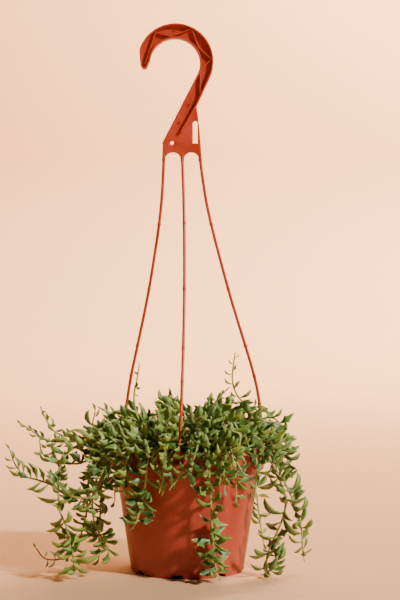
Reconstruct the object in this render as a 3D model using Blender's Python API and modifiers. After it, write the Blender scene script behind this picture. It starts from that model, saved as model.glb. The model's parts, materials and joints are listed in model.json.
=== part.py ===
"""String of dolphins in a terracotta-coloured hanging pot, standing on its foot ring.

The pot is one plastic moulding and the hanger another: a hook, a plate and three thin strands whose
knobbed ends are caught under lugs on the pot's collar. The plant is a set of leafy stems that stand in
holes in the soil, rise into a low crown and trail over the rim. All sizes here are in millimetres, and
each finished mesh is scaled to metres. +Z is up, the viewer looks along +Y, and the pot stands on z = 0.
"""

import math
import random

import bmesh
import bpy
from mathutils import Matrix, Vector
from mathutils.bvhtree import BVHTree

MM = 0.001
GAP = 0.3

# Pot: a six inch hanging pot
RIM_RADIUS = 79.2
RIM_HEIGHT = 128.2
COLLAR_BOTTOM = 104.0
COLLAR_INNER = 77.4
WALL_TOP_RADIUS = 73.8
WALL_TOP_INNER = 72.2
FOOT_RADIUS = 57.8
FLOOR_RADIUS = 55.0
FLOOR_TOP = 6.0
FLOOR_UNDER = 4.4
PAD_RADIUS = 9.0
POT_STEPS = 32
NOTCH_COUNT = 8
NOTCH_WIDTH = 12.0
NOTCH_HEIGHT = 4.0
NOTCH_TURN = -9.0
DRAIN_COUNT = 6
DRAIN_RADIUS = 3.5
DRAIN_CIRCLE = 40.0

# Lugs on the collar, where the strands of the hanger are caught
STRAND_CIRCLE = 82.5
LUG_AZIMUTHS = (-5.0, 108.0, -124.0)
LUG_BOTTOM = 112.0
LUG_TOP = 118.0
LUG_WIDTH = 9.0
LUG_OUTER = 87.0
LUG_HOLE = 2.1

# Hanger: hook, plate and strands, drawn in the XZ plane
HOOK_OUTER_CENTRE = (-12.3, 521.7)
HOOK_OUTER_RADIUS = 38.1
HOOK_INNER_CENTRE = (-12.85, 519.7)
HOOK_INNER_RADIUS = 26.6
HOOK_TIP = ((-40.2, 519.4), (-41.8, 517.2), (-44.3, 515.4), (-46.7, 518.6), (-47.6, 524.0))
SHANK_LEFT = ((-25.4, 436.7), (11.0, 507.9))
SHANK_RIGHT = ((22.7, 506.6), (9.6, 478.0), (-6.7, 449.0))
TRUSS = (
    (-43.8, 518.5), (-32.9, 551.6), (-16.5, 547.5), (4.5, 555.3), (11.4, 535.6),
    (25.0, 524.0), (13.2, 514.0), (12.9, 487.0),
)
FLANGE_WIDTH = 1.8
FLANGE_HALF_DEPTH = 5.0
TRUSS_WIDTH = 1.4
TRUSS_HALF_DEPTH = 4.0
WEB_HALF_DEPTH = 0.8
PLATE_HALF_DEPTH = 1.1
PLATE_BOTTOM = 421.0
PLATE_LEFT = ((-26.1, 421.0), (-25.6, 436.9), (-6.0, 475.0))
PLATE_RIGHT = ((9.2, 477.5), (12.5, 451.3), (14.7, 421.0))
ARCHES = ((11.6, -3.7), (-6.9, -23.0))
ARCH_HEIGHT = 7.5
SLOT_CENTRE = (8.0, 449.2)
SLOT_SIZE = (5.0, 23.0)
PLATE_HOLE = (-15.9, 438.1)
PLATE_HOLE_RADIUS = 1.9
STRAND_TOPS = (-5.3, 13.2, -24.5)
STRAND_RADIUS = 1.4
STRAND_END_RADIUS = 1.6
STRAND_SWAY = (
    (0.0, 0.0), (0.07, 0.04), (0.165, 0.11), (0.275, 0.225), (0.434, 0.415), (0.534, 0.545),
    (0.66, 0.72), (0.77, 0.864), (0.87, 0.95), (1.0, 1.0),
)
# How far each strand bows towards +X at the middle of its drop
STRAND_BOWS = (3.4, 0.0, 3.7)
STRAND_FOOT = 130.0
KNOB_RADIUS = 3.0
KNOB_HEIGHT = 5.0

# Soil, domed a little, a finger below the rim
SOIL_STEPS = 16
SOIL_TOP = ((76.8, 114.0), (60.0, 117.5), (30.0, 120.5), (0.0, 121.5))
ROOT_DEPTH = 8.0
HOLE_RADIUS = 2.3

# Leafy stems
STEM_RADIUS = 1.3
TIP_RADIUS = 0.7
SEGMENT = 15.0
LEAF_LENGTH = 18.0
LEAF_CLEARANCE = 0.45
ROOT_SHARE = 0.08
LEAF_TRIES = 26

# Routes of the stems whose course the front view shows, after the root: x, y, z of each point.
# Each entry: root x and y, points of the route, leaf length, distance between leaves.
TRAILS = {
    "trail_left_1": ((-50, 18), (
        (-62, 18, 131), (-78, 16, 135), (-104, 9, 134), (-124, 2, 136), (-138, 0, 142),
        (-144, 0, 151), (-148, -2, 159), (-151, -2, 167)), 12.5, 9),
    "trail_left_2": ((-47, 4), (
        (-60, 4, 129), (-78, 4, 132), (-103, -4, 131), (-124, -11, 133), (-134, -12, 131),
        (-145, -12, 134), (-153, -12, 139), (-160, -12, 144), (-169, -12, 150)), 12.5, 9),
    "trail_left_3": ((-60, -7), (
        (-68, -8, 130), (-80, -9, 132), (-89, -13, 124), (-94, -20, 112), (-100, -26, 92),
        (-101, -28, 74), (-102, -30, 58), (-106, -30, 44), (-112, -30, 30), (-119, -30, 21),
        (-130, -30, 15), (-143, -30, 16), (-151, -30, 19), (-152, -30, 26)), 14, 10.5),
    "trail_left_4": ((-44, -16), (
        (-56, -18, 130), (-72, -20, 132), (-84, -24, 127), (-104, -30, 113), (-122, -31, 112),
        (-133, -30, 112), (-142, -30, 117), (-148, -30, 126), (-149, -30, 138)), 17.5, 10.5),
    "trail_left_5": ((-54, -27), (
        (-60, -29, 130), (-70, -32, 134), (-85, -35, 138), (-103, -37, 134), (-117, -42, 126),
        (-124, -46, 118), (-127, -50, 108), (-128, -53, 94), (-127, -56, 79), (-125, -58, 64),
        (-120, -59, 55), (-118, -60, 42), (-114, -61, 32), (-112, -62, 21), (-111, -63, 9)), 20.5, 8.5),
    "trail_left_6": ((-50, -40), (
        (-56, -42, 129), (-66, -45, 132), (-76, -47, 126), (-84, -48, 113), (-90, -46, 98),
        (-94, -46, 82), (-94, -47, 63), (-91, -48, 51), (-86, -48, 42), (-81, -48, 32),
        (-77, -48, 24)), 18, 9.5),
    "trail_left_7": ((-38, -44), (
        (-47, -50, 129), (-59, -55, 133), (-72, -59, 127), (-81, -62, 114), (-86, -64, 97),
        (-91, -66, 85), (-99, -68, 81), (-108, -69, 83), (-119, -69, 86), (-129, -67, 91),
        (-138, -64, 98), (-149, -60, 99), (-160, -56, 102), (-168, -53, 110), (-173, -51, 117),
        (-176, -49, 127)), 18, 9.5),
    "trail_front_1": ((-40, -54), (
        (-45, -59, 130), (-52, -64, 132), (-58, -70, 122), (-61, -71, 107), (-62, -69, 92),
        (-60, -69, 82)), 18.5, 8.5),
    "trail_front_2": ((-28, -57), (
        (-32, -63, 129), (-36, -71, 132), (-39, -77, 124), (-39, -78, 108), (-41, -77, 95),
        (-44, -76, 81), (-46, -75, 69), (-50, -75, 58)), 18.5, 8.5),
    "trail_front_3": ((-17, -55), (
        (-19, -62, 130), (-21, -74, 133), (-22, -83, 125), (-22, -85, 110), (-24, -84, 98),
        (-27, -83, 89)), 18.5, 8.5),
    "trail_front_4": ((2, -60), (
        (2, -66, 129), (3, -77, 132), (4, -86, 126), (2, -90, 116), (-4, -91, 108),
        (-12, -91, 101), (-17, -90, 93)), 18.5, 8.5),
    "trail_front_5": ((14, -57), (
        (15, -63, 129), (17, -76, 133), (19, -85, 126), (22, -87, 111), (22, -86, 98),
        (23, -85, 86), (24, -83, 74), (24, -81, 62), (25, -80, 50), (26, -79, 38),
        (27, -78, 24), (29, -78, 11)), 20, 8),
    "trail_front_6": ((28, -55), (
        (29, -61, 130), (32, -74, 132), (34, -81, 124), (36, -83, 108), (37, -82, 95)), 18.5, 8.5),
    "trail_front_7": ((36, -40), (
        (40, -45, 146), (43, -53, 156), (45, -62, 148), (46, -72, 132), (47, -77, 116),
        (48, -77, 104), (48, -76, 92), (48, -75, 82)), 19, 8.5),
    "trail_right_1": ((51, -40), (
        (56, -45, 130), (63, -52, 133), (68, -57, 122), (69, -59, 105), (68, -58, 91),
        (66, -57, 78)), 19, 8.5),
    "trail_right_2": ((49, -24), (
        (57, -27, 135), (66, -32, 139), (77, -38, 129), (86, -42, 111), (93, -44, 96),
        (98, -45, 82), (98, -45, 69), (93, -45, 52), (86, -45, 37), (81, -45, 26),
        (79, -45, 14), (81, -46, 5), (86, -46, 6), (89, -46, 18), (87, -46, 29)), 20, 8.5),
    "trail_right_3": ((55, -8), (
        (64, -9, 136), (78, -12, 136), (88, -14, 120), (96, -15, 98), (103, -17, 83),
        (108, -18, 73), (112, -19, 61), (115, -20, 49), (117, -20, 35), (117, -20, 22),
        (119, -20, 10)), 20.5, 8.5),
    "front_shoot_1": ((-8, -45), (
        (-9, -51, 143), (-11, -61, 152), (-14, -73, 149), (-18, -83, 139), (-20, -90, 126)), 20, 7.5),
    "front_shoot_2": ((9, -43), (
        (10, -50, 145), (12, -60, 154), (13, -71, 151), (12, -82, 142), (9, -91, 130)), 20, 7.5),
    "tip_shoot_1": ((-38, 8), (
        (-44, 7, 138), (-53, 5, 161), (-56, 5, 172), (-54, 5, 184), (-52, 5, 196),
        (-50, 5, 208)), 9, 9),
    "tip_shoot_2": ((51, 9), (
        (62, 7, 138), (74, 0, 153), (74, -8, 162), (62, -10, 168), (53, -10, 176), (48, -10, 186),
        (46, -10, 195), (47, -10, 209), (49, -10, 223)), 11, 10),
    "tip_shoot_3": ((20, -10), (
        (22, -12, 146), (24, -13, 163), (29, -14, 172), (37, -15, 183), (43, -16, 188)), 9, 14),
    "side_shoot_1": ((-46, 30), (
        (-56, 22, 138), (-70, 16, 151), (-82, 13, 159), (-93, 11, 166)), 15, 13),
    "side_shoot_2": ((-60, 32), (
        (-70, 26, 136), (-86, 20, 138), (-97, 14, 143), (-98, 12, 152), (-96, 12, 160)), 17.5, 11),
    "side_shoot_3": ((58, 22), (
        (66, 17, 138), (76, 10, 152), (86, 5, 156), (94, 2, 150), (99, 1, 141), (101, 0, 131)), 18, 10),
}

# Leaves that the front view shows singly. Each entry: x and z where the leaf leaves its stem, x and z of
# its tip, x and z of the way it curls, how far it bends, and where its fins stand (0: no fins).
SHOWN_LEAVES = {
    "trail_left_4": (
        ((-127, 114), (-135, 127), (1, 0.6), 1.1, 0), ((-84, 123), (-88, 135), (-1, 0), 0.5, 0.6)),
    "trail_left_5": (
        ((-127, 79), (-149, 78), (0, 1), 0.35, 0.3), ((-122, 58), (-138, 46), (-1, 1), 0.5, 0.5),
        ((-119, 57), (-102, 48), (1, -0.3), 0.5, 0.55), ((-112, 21), (-84, 23), (0, 1), 0.4, 0.4),
        ((-116, 33), (-125, 19), (-1, 0), 0.6, 0.6), ((-112, 16), (-98, 7), (1, 0), 0.6, 0.6)),
    "trail_left_6": (
        ((-81, 31), (-68, 22), (1, 0), 0.35, 0.8), ((-92, 62), (-82, 51), (1, -1), 0.5, 0.6),
        ((-94, 77), (-83, 69), (1, 0), 0.6, 0.6)),
    "trail_front_2": (
        ((-44, 82), (-31, 69), (1, 0), 0.5, 0.6), ((-44, 78), (-57, 70), (0, 1), 0.5, 0.6),
        ((-39, 103), (-23, 92), (1, 0), 0.5, 0.6)),
    "trail_front_5": (
        ((25, 52), (44, 43), (0, 1), 0.5, 0.6), ((25, 42), (40, 31), (1, 0), 0.5, 0.6),
        ((25, 36), (12, 25), (-1, 0), 0.5, 0.6), ((26, 27), (41, 15), (1, 0), 0.5, 0.6)),
    "trail_front_7": (
        ((47, 101), (60, 90), (1, 0), 0.5, 0.6), ((46, 112), (59, 118), (0, 1), 0.6, 0.6)),
    "trail_right_2": (
        ((91, 100), (70, 90), (-0.3, 1), 1.3, 0), ((97, 64), (77, 80), (-0.2, 1), 1.7, 0),
        ((96, 60), (112, 42), (1, 0.4), 0.9, 0), ((92, 57), (78, 51), (0, 1), 0.4, 0.6),
        ((80, 24), (62, 19), (0, 1), 0.3, 0.55)),
    "trail_right_3": (
        ((106, 84), (112, 102), (-1, 0.3), 1.4, 0), ((113, 64), (118, 78), (-1, 0.4), 2.1, 0),
        ((117, 27), (109, 19), (-1, 0), 0.4, 0.6), ((117, 19), (127, 24), (0, 1), 0.4, 0.6)),
    "tip_shoot_2": (
        ((54, 177), (67, 184), (0, 1), 0.3, 0.5), ((57, 172), (45, 172), (0, 1), 0.3, 0.55)),
    "side_shoot_1": (((-93, 167), (-96, 155), (-1, 0), 0.5, 0),),
    "side_shoot_2": (((-99, 147), (-102, 163), (1, 0), 1.6, 0),),
    "side_shoot_3": (
        ((92, 135), (110, 134), (0, 1), 0.3, 0.85), ((84, 157), (70, 165), (-0.4, -1), 1.3, 0)),
}

# Stems laid out by rule: azimuths are from the front towards +X
BACK_TRAILS = 7
BACK_FROM = 122.0
BACK_SPREAD = 150.0
# Crown rings: number of shoots, distance from the axis, rise, reach, least and most droop
CROWN_RINGS = (
    (16, 62.0, 22.0, 22.0, 0.8, 1.7), (8, 38.0, 42.0, 24.0, 0.1, 0.6), (1, 10.0, 50.0, 16.0, 0.0, 0.3),
)
RULE_LEAF = 19.5
RULE_PITCH = 9.0
ROUTE_TRIES = 600
STEM_ROOM = 4.2


def clear_scene():
    for item in list(bpy.data.objects):
        bpy.data.objects.remove(item, do_unlink=True)


def new_collection(name):
    group = bpy.data.collections.new(name)
    bpy.context.scene.collection.children.link(group)
    return group


def plastic(name, colour, roughness):
    material = bpy.data.materials.new(name)
    material.use_nodes = True
    shader = material.node_tree.nodes["Principled BSDF"]
    shader.inputs["Base Color"].default_value = (*colour, 1.0)
    shader.inputs["Roughness"].default_value = roughness
    shader.inputs["Metallic"].default_value = 0.0
    material.diffuse_color = (*colour, 1.0)
    return material


def mesh_object(name, mesh, group):
    item = bpy.data.objects.new(name, mesh)
    group.objects.link(item)
    return item


def shape_object(name, shape, group):
    mesh = bpy.data.meshes.new(name)
    shape.to_mesh(mesh)
    shape.free()
    return mesh_object(name, mesh, group)


def evaluated_mesh(item):
    bpy.context.view_layer.update()
    graph = bpy.context.evaluated_depsgraph_get()
    return bpy.data.meshes.new_from_object(item.evaluated_get(graph), depsgraph=graph)


def finish_piece(item, name, material, group, sharp_angle):
    """Apply the modifiers, scale the mesh to metres and put it on the finished object."""
    mesh = evaluated_mesh(item)
    mesh.transform(item.matrix_world)
    mesh.transform(Matrix.Scale(MM, 4))
    mesh.materials.clear()
    mesh.materials.append(material)
    mesh.shade_smooth()
    mesh.set_sharp_from_angle(angle=math.radians(sharp_angle))
    bpy.data.objects.remove(item, do_unlink=True)
    mesh.name = name
    return mesh_object(name, mesh, group)


def curve_to_mesh(item, group):
    """Turn a curve object into a closed mesh object in the same place."""
    mesh = evaluated_mesh(item)
    mesh.transform(item.matrix_world)
    bpy.data.objects.remove(item, do_unlink=True)
    shape = bmesh.new()
    shape.from_mesh(mesh)
    bmesh.ops.remove_doubles(shape, verts=shape.verts, dist=0.0001)
    bmesh.ops.recalc_face_normals(shape, faces=shape.faces)
    shape.to_mesh(mesh)
    shape.free()
    return mesh_object(mesh.name, mesh, group)


def keep_main_body(mesh):
    """Drop any loose scrap or sealed hollow beside the main body, and say whether that is closed."""
    shape = bmesh.new()
    shape.from_mesh(mesh)
    bmesh.ops.remove_doubles(shape, verts=shape.verts, dist=0.0005)
    rest = set(shape.faces)
    bodies = []
    while rest:
        body = [rest.pop()]
        for face in body:
            for edge in face.edges:
                for other in edge.link_faces:
                    if other in rest:
                        rest.remove(other)
                        body.append(other)
        bodies.append(body)
    bodies.sort(key=len)
    scraps = [face for body in bodies[:-1] for face in body]
    bmesh.ops.delete(shape, geom=scraps, context="FACES")
    closed = all(len(edge.link_faces) == 2 and edge.calc_length() > 0.0005 for edge in shape.edges)
    shape.to_mesh(mesh)
    shape.free()
    return closed


def boolean(item, operation, others, name):
    """Join or cut with a whole collection of solids, which is emptied once it is applied."""
    tools = new_collection(name)
    for other in others:
        for holder in list(other.users_collection):
            holder.objects.unlink(other)
        tools.objects.link(other)
    step = item.modifiers.new(name, "BOOLEAN")
    step.operation = operation
    step.operand_type = "COLLECTION"
    step.collection = tools
    step.solver = "EXACT"
    mesh = evaluated_mesh(item)
    if not keep_main_body(mesh):
        step.solver = "MANIFOLD"
        mesh = evaluated_mesh(item)
        keep_main_body(mesh)
    item.modifiers.clear()
    item.data = mesh
    for other in list(tools.objects):
        bpy.data.objects.remove(other, do_unlink=True)
    bpy.data.collections.remove(tools)


def turned(name, profile, steps, group):
    """A profile of radius and height, run down its outer side, turned about Z."""
    shape = bmesh.new()
    points = [shape.verts.new((radius, 0.0, height)) for radius, height in profile]
    for first, second in zip(points, points[1:]):
        shape.edges.new((first, second))
    item = shape_object(name, shape, group)
    turn = item.modifiers.new("turn", "SCREW")
    turn.angle = math.tau
    turn.steps = steps
    turn.render_steps = steps
    turn.use_merge_vertices = True
    turn.merge_threshold = 0.0001
    item.data = evaluated_mesh(item)
    item.modifiers.clear()
    return item


def at_azimuth(azimuth, radius, height):
    """A point at an azimuth from the front (-Y) towards +X."""
    angle = math.radians(azimuth)
    return Vector((radius * math.sin(angle), -radius * math.cos(angle), height))


def block(name, size, centre, azimuth, group, taper=1.0):
    """A box that faces an azimuth: width across, depth outwards and height; taper narrows its top."""
    shape = bmesh.new()
    bmesh.ops.create_cube(shape, size=1.0)
    for point in shape.verts:
        if point.co.z > 0:
            point.co.x *= taper
    bmesh.ops.scale(shape, vec=size, verts=shape.verts)
    turn = Matrix.Rotation(math.radians(azimuth), 4, "Z")
    bmesh.ops.transform(shape, matrix=Matrix.Translation(centre) @ turn, verts=shape.verts)
    return shape_object(name, shape, group)


def peg(name, radius, bottom, top, place, sides, group, top_radius=None):
    """An upright round bar, or a cone where the top radius differs."""
    shape = bmesh.new()
    bmesh.ops.create_cone(
        shape, cap_ends=True, segments=sides, radius1=radius,
        radius2=radius if top_radius is None else top_radius, depth=top - bottom)
    move = Matrix.Translation((place[0], place[1], (top + bottom) / 2))
    bmesh.ops.transform(shape, matrix=move, verts=shape.verts)
    return shape_object(name, shape, group)


def rod(name, points, radii, resolution, group):
    """A round bar along a route, with its own radius at each point."""
    curve = bpy.data.curves.new(name, "CURVE")
    curve.dimensions = "3D"
    curve.bevel_depth = 1.0
    curve.bevel_resolution = resolution
    curve.use_fill_caps = True
    line = curve.splines.new("POLY")
    line.points.add(len(points) - 1)
    for spot, point, radius in zip(line.points, points, radii):
        spot.co = (*point, 1.0)
        spot.radius = radius
    return curve_to_mesh(mesh_object(name, curve, group), group)


def flat_piece(name, outlines, half_depth, group):
    """An outline in the XZ plane, with any holes as further outlines, thickened along Y."""
    curve = bpy.data.curves.new(name, "CURVE")
    curve.dimensions = "2D"
    curve.fill_mode = "BOTH"
    curve.extrude = half_depth
    for outline in outlines:
        line = curve.splines.new("POLY")
        line.points.add(len(outline) - 1)
        line.use_cyclic_u = True
        for spot, point in zip(line.points, outline):
            spot.co = (point[0], point[1], 0.0, 1.0)
    item = mesh_object(name, curve, group)
    item.rotation_euler = (math.radians(90), 0.0, 0.0)
    return curve_to_mesh(item, group)


def arc(centre, radii, start, end, count):
    """Points of an elliptical arc, angles in degrees from +X."""
    points = []
    for step in range(count + 1):
        angle = math.radians(start + (end - start) * step / count)
        points.append((centre[0] + radii[0] * math.cos(angle), centre[1] + radii[1] * math.sin(angle)))
    return points


def strip(path, width):
    """The outline of a flat bar of this width along a path."""
    left, right = [], []
    for place, point in enumerate(path):
        before = Vector(path[max(place - 1, 0)])
        after = Vector(path[min(place + 1, len(path) - 1)])
        side = (after - before).normalized().orthogonal() * width / 2
        left.append(tuple(Vector(point) + side))
        right.append(tuple(Vector(point) - side))
    return left + right[::-1]


def make_pot(workshop):
    profile = (
        (0.0, FLOOR_TOP), (FLOOR_RADIUS, FLOOR_TOP), (WALL_TOP_INNER, COLLAR_BOTTOM + 1.5),
        (COLLAR_INNER - 0.2, COLLAR_BOTTOM + 2.4), (COLLAR_INNER, RIM_HEIGHT - 0.8),
        (RIM_RADIUS - 0.9, RIM_HEIGHT), (RIM_RADIUS, RIM_HEIGHT - 0.8),
        (RIM_RADIUS - 0.6, COLLAR_BOTTOM), (WALL_TOP_RADIUS, COLLAR_BOTTOM), (FOOT_RADIUS, 1.2),
        (FOOT_RADIUS - 1.2, 0.0), (FOOT_RADIUS - 3.6, 0.0), (FOOT_RADIUS - 4.2, FLOOR_UNDER),
        (PAD_RADIUS + 1.0, FLOOR_UNDER), (PAD_RADIUS, 0.0), (0.0, 0.0),
    )
    pot = turned("pot_body", profile, POT_STEPS, workshop)
    lugs, cutters = [], []
    depth = LUG_OUTER - RIM_RADIUS + 1.4
    for azimuth in LUG_AZIMUTHS:
        centre = at_azimuth(azimuth, LUG_OUTER - depth / 2, (LUG_BOTTOM + LUG_TOP) / 2)
        lugs.append(block("lug", (LUG_WIDTH, depth, LUG_TOP - LUG_BOTTOM), centre, azimuth, workshop))
        place = at_azimuth(azimuth, STRAND_CIRCLE, 0)
        cutters.append(peg("lug_hole", LUG_HOLE, LUG_BOTTOM - 2, LUG_TOP + 2, place, 8, workshop))
    boolean(pot, "UNION", lugs, "join_lugs")
    for index in range(NOTCH_COUNT):
        azimuth = NOTCH_TURN + index * 360 / NOTCH_COUNT
        centre = at_azimuth(azimuth, FOOT_RADIUS - 0.5, NOTCH_HEIGHT / 2 - 1)
        size = (NOTCH_WIDTH + 3, 10.0, NOTCH_HEIGHT + 2)
        cutters.append(block("notch", size, centre, azimuth, workshop, taper=0.6))
    for index in range(DRAIN_COUNT):
        place = at_azimuth(NOTCH_TURN + (index + 0.5) * 360 / DRAIN_COUNT, DRAIN_CIRCLE, 0)
        cutters.append(peg("drain", DRAIN_RADIUS, FLOOR_UNDER - 2, FLOOR_TOP + 2, place, 6, workshop))
    boolean(pot, "DIFFERENCE", cutters, "cut_pot")
    return pot


def strand_route(index):
    """From the plate down to a lug: the sideways travel follows one sway for all three strands."""
    top = Vector((STRAND_TOPS[index], 0.0, 0.0))
    foot = at_azimuth(LUG_AZIMUTHS[index], STRAND_CIRCLE, 0.0)
    points = [Vector((top.x, 0.0, PLATE_BOTTOM + 5))]
    for drop, travel in STRAND_SWAY:
        height = PLATE_BOTTOM + (STRAND_FOOT - PLATE_BOTTOM) * drop
        bow = STRAND_BOWS[index] * 4 * drop * (1 - drop)
        points.append(top.lerp(foot, travel) + Vector((bow, 0.0, height)))
    points.append(foot + Vector((0.0, 0.0, LUG_BOTTOM - GAP - KNOB_HEIGHT / 2)))
    return points


def make_hanger(workshop):
    inner = [SHANK_LEFT[0], *arc(HOOK_INNER_CENTRE, [HOOK_INNER_RADIUS] * 2, -26.3, 175, 9)]
    outer = [*arc(HOOK_OUTER_CENTRE, [HOOK_OUTER_RADIUS] * 2, 162, -23.4, 11), *SHANK_RIGHT[1:]]
    edge = inner + list(HOOK_TIP) + outer
    web = flat_piece("web", [edge], WEB_HALF_DEPTH, workshop)
    joined = [flat_piece("flange", [strip(edge, FLANGE_WIDTH)], FLANGE_HALF_DEPTH, workshop)]
    for start, end in zip(TRUSS, TRUSS[1:]):
        bar = strip((start, end), TRUSS_WIDTH)
        joined.append(flat_piece("truss_bar", [bar], TRUSS_HALF_DEPTH, workshop))
    outline = list(PLATE_LEFT) + list(PLATE_RIGHT)
    for right, left in ARCHES:
        centre = ((right + left) / 2, PLATE_BOTTOM)
        outline += arc(centre, ((right - left) / 2, ARCH_HEIGHT), 0, 180, 6)
    half_width, half_height = SLOT_SIZE[0] / 2, SLOT_SIZE[1] / 2
    low, high = SLOT_CENTRE[1] - half_height, SLOT_CENTRE[1] + half_height
    slot = [(SLOT_CENTRE[0] - half_width, low), (SLOT_CENTRE[0] + half_width, low)]
    slot += arc((SLOT_CENTRE[0], high - half_width), [half_width] * 2, 0, 180, 4)
    hole = arc(PLATE_HOLE, [PLATE_HOLE_RADIUS] * 2, 0, 315, 7)
    joined.append(flat_piece("plate", [outline, slot, hole], PLATE_HALF_DEPTH, workshop))
    for index, azimuth in enumerate(LUG_AZIMUTHS):
        points = strand_route(index)
        radii = [STRAND_RADIUS] * (len(points) - 3) + [STRAND_END_RADIUS] * 3
        joined.append(rod("strand", points, radii, 0, workshop))
        top = LUG_BOTTOM - GAP
        place = at_azimuth(azimuth, STRAND_CIRCLE, 0)
        joined.append(peg("knob", 2.0, top - KNOB_HEIGHT, top, place, 8, workshop, KNOB_RADIUS))
    boolean(web, "UNION", joined, "join_hanger")
    return web


def soil_height(radius):
    """Height of the soil's surface at a distance from the axis."""
    for (outer, low), (inner, high) in zip(SOIL_TOP, SOIL_TOP[1:]):
        if radius >= inner:
            share = min((outer - radius) / (outer - inner), 1.0)
            return low + (high - low) * share
    return SOIL_TOP[-1][1]


def make_soil(roots, workshop):
    profile = list(SOIL_TOP[::-1]) + [
        (COLLAR_INNER - 0.6, COLLAR_BOTTOM + 3.2), (WALL_TOP_INNER - 0.4, COLLAR_BOTTOM + 1.8),
        (FLOOR_RADIUS - 0.6, FLOOR_TOP + 0.4), (0.0, FLOOR_TOP + 0.4)]
    soil = turned("soil_body", profile, SOIL_STEPS, workshop)
    holes = []
    for root in roots:
        top = soil_height(math.hypot(*root))
        holes.append(peg("hole", HOLE_RADIUS, top - ROOT_DEPTH - GAP, top + 4, root, 4, workshop))
    boolean(soil, "DIFFERENCE", holes, "cut_soil")
    return soil


def smooth_route(points, count=12):
    """A Catmull-Rom curve through the points, as a list of closely spaced points."""
    ends = [points[0] * 2 - points[1], *points, points[-1] * 2 - points[-2]]
    result = [points[0]]
    for a, b, c, d in zip(ends, ends[1:], ends[2:], ends[3:]):
        for step in range(1, count + 1):
            t = step / count
            result.append(0.5 * (
                2 * b + (c - a) * t + (2 * a - 5 * b + 4 * c - d) * t * t
                + (3 * b - a - 3 * c + d) * t * t * t))
    return result


def walk(points, distance):
    """The place and direction at a distance along a line of points."""
    for first, second in zip(points, points[1:]):
        span = (second - first).length
        if distance <= span:
            return first.lerp(second, distance / span), (second - first) / span
        distance -= span
    return points[-1], (points[-1] - points[-2]).normalized()


def line_length(points):
    return sum((second - first).length for first, second in zip(points, points[1:]))


def stem_line(root, route):
    """The whole line of a stem: straight up out of its hole, then along its route."""
    top = soil_height(math.hypot(*root))
    foot = Vector((root[0], root[1], top - ROOT_DEPTH))
    line = smooth_route([Vector((root[0], root[1], top + 2)), *[Vector(point) for point in route]])
    count = max(4, round(line_length(line) / SEGMENT))
    length = line_length(line)
    return [foot] + [walk(line, length * step / count)[0] for step in range(count + 1)]


def stem_radii(line):
    """The stem thins towards its tip."""
    last = len(line) - 1
    return [STEM_RADIUS + (TIP_RADIUS - STEM_RADIUS) * (place / last) ** 1.5 for place in range(last + 1)]


GUARD_RINGS = (0.0, 0.45, 1.0, 1.45, 2.0)
TRAIL_RINGS = (0.0, 1.0, 1.45, 2.0)
PLAIN_RINGS = (0.0, 1.0, 2.0)
SMALL_LEAF = 17.5


def leaf_points(form, numbers, extra=0.0):
    """Rings of a dolphin-shaped leaf: a narrow stalk that widens to two fins, then a pointed nose.

    The leaf starts at the origin, runs along +Z and curls towards +Y. Ring numbers up to 1 lie
    before the fins and up to 2 after them. Each ring has two side points and one on the keel. The
    root is a small copy of the fins' ring, so that the sides leave the stem as flat faces.
    """
    length, fins, fin_at, bend = form
    scale = length / LEAF_LENGTH
    rings = []
    for ring in numbers:
        along = fin_at * ring if ring <= 1 else fin_at + (1 - fin_at) * (ring - 1)
        angle = bend * along
        spine = Vector((0.0, length * (1 - math.cos(angle)) / bend, length * math.sin(angle) / bend))
        if ring == 2.0:
            rings.append([spine + Vector((0.0, math.sin(angle), math.cos(angle))) * extra])
            continue
        if ring == 0.0:
            spine = spine - Vector((0.0, 0.0, extra))
            angle = bend * fin_at
        belly = max(ring, ROOT_SHARE / min(scale, 1.0) ** 0.5) if ring <= 1 else 2 - ring
        half = (3.0 + 1.9 * fins * (ring <= 1)) * belly * scale
        thick = 2.5 * belly * scale
        up = Vector((0.0, math.cos(angle), -math.sin(angle)))
        side = Vector((half + extra, 0.0, 0.0))
        rings.append([
            spine - side + up * (0.35 * thick + extra), spine + side + up * (0.35 * thick + extra),
            spine - up * (thick + extra)])
    return rings


def leaf_solid(rings):
    """Points and faces of a leaf from its rings of three points and its tip."""
    points = [point for ring in rings for point in ring]
    faces = [(0, 1, 2)]
    for start in range(0, len(points) - 4, 3):
        for side in range(3):
            after = (side + 1) % 3
            faces.append((start + side, start + 3 + side, start + 3 + after, start + after))
    tip = len(points) - 1
    for side in range(3):
        faces.append((tip - 3 + side, tip, tip - 3 + (side + 1) % 3))
    return points, faces


def leaf_place(root, direction, towards):
    """The frame of a leaf: its length along a direction, curling towards another."""
    along = direction.normalized()
    curl = towards - along * towards.dot(along)
    if curl.length < 0.05:
        curl = along.orthogonal()
    curl.normalize()
    turn = Matrix((curl.cross(along), curl, along)).transposed().to_4x4()
    return Matrix.Translation(root) @ turn


class Garden:
    """Everything that already stands, by owner, for keeping new stems and leaves clear of it."""

    def __init__(self):
        self.items = []

    def add(self, owner, points, faces):
        centre = sum(points, Vector()) / len(points)
        radius = max((point - centre).length for point in points)
        self.items.append((owner, centre, radius, BVHTree.FromPolygons(points, faces)))

    def touches(self, points, faces, ignored=()):
        centre = sum(points, Vector()) / len(points)
        radius = max((point - centre).length for point in points)
        tree = None
        for owner, middle, size, other in self.items:
            if owner in ignored or (middle - centre).length > size + radius:
                continue
            tree = tree or BVHTree.FromPolygons(points, faces)
            if tree.overlap(other):
                return True
        return False


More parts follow.
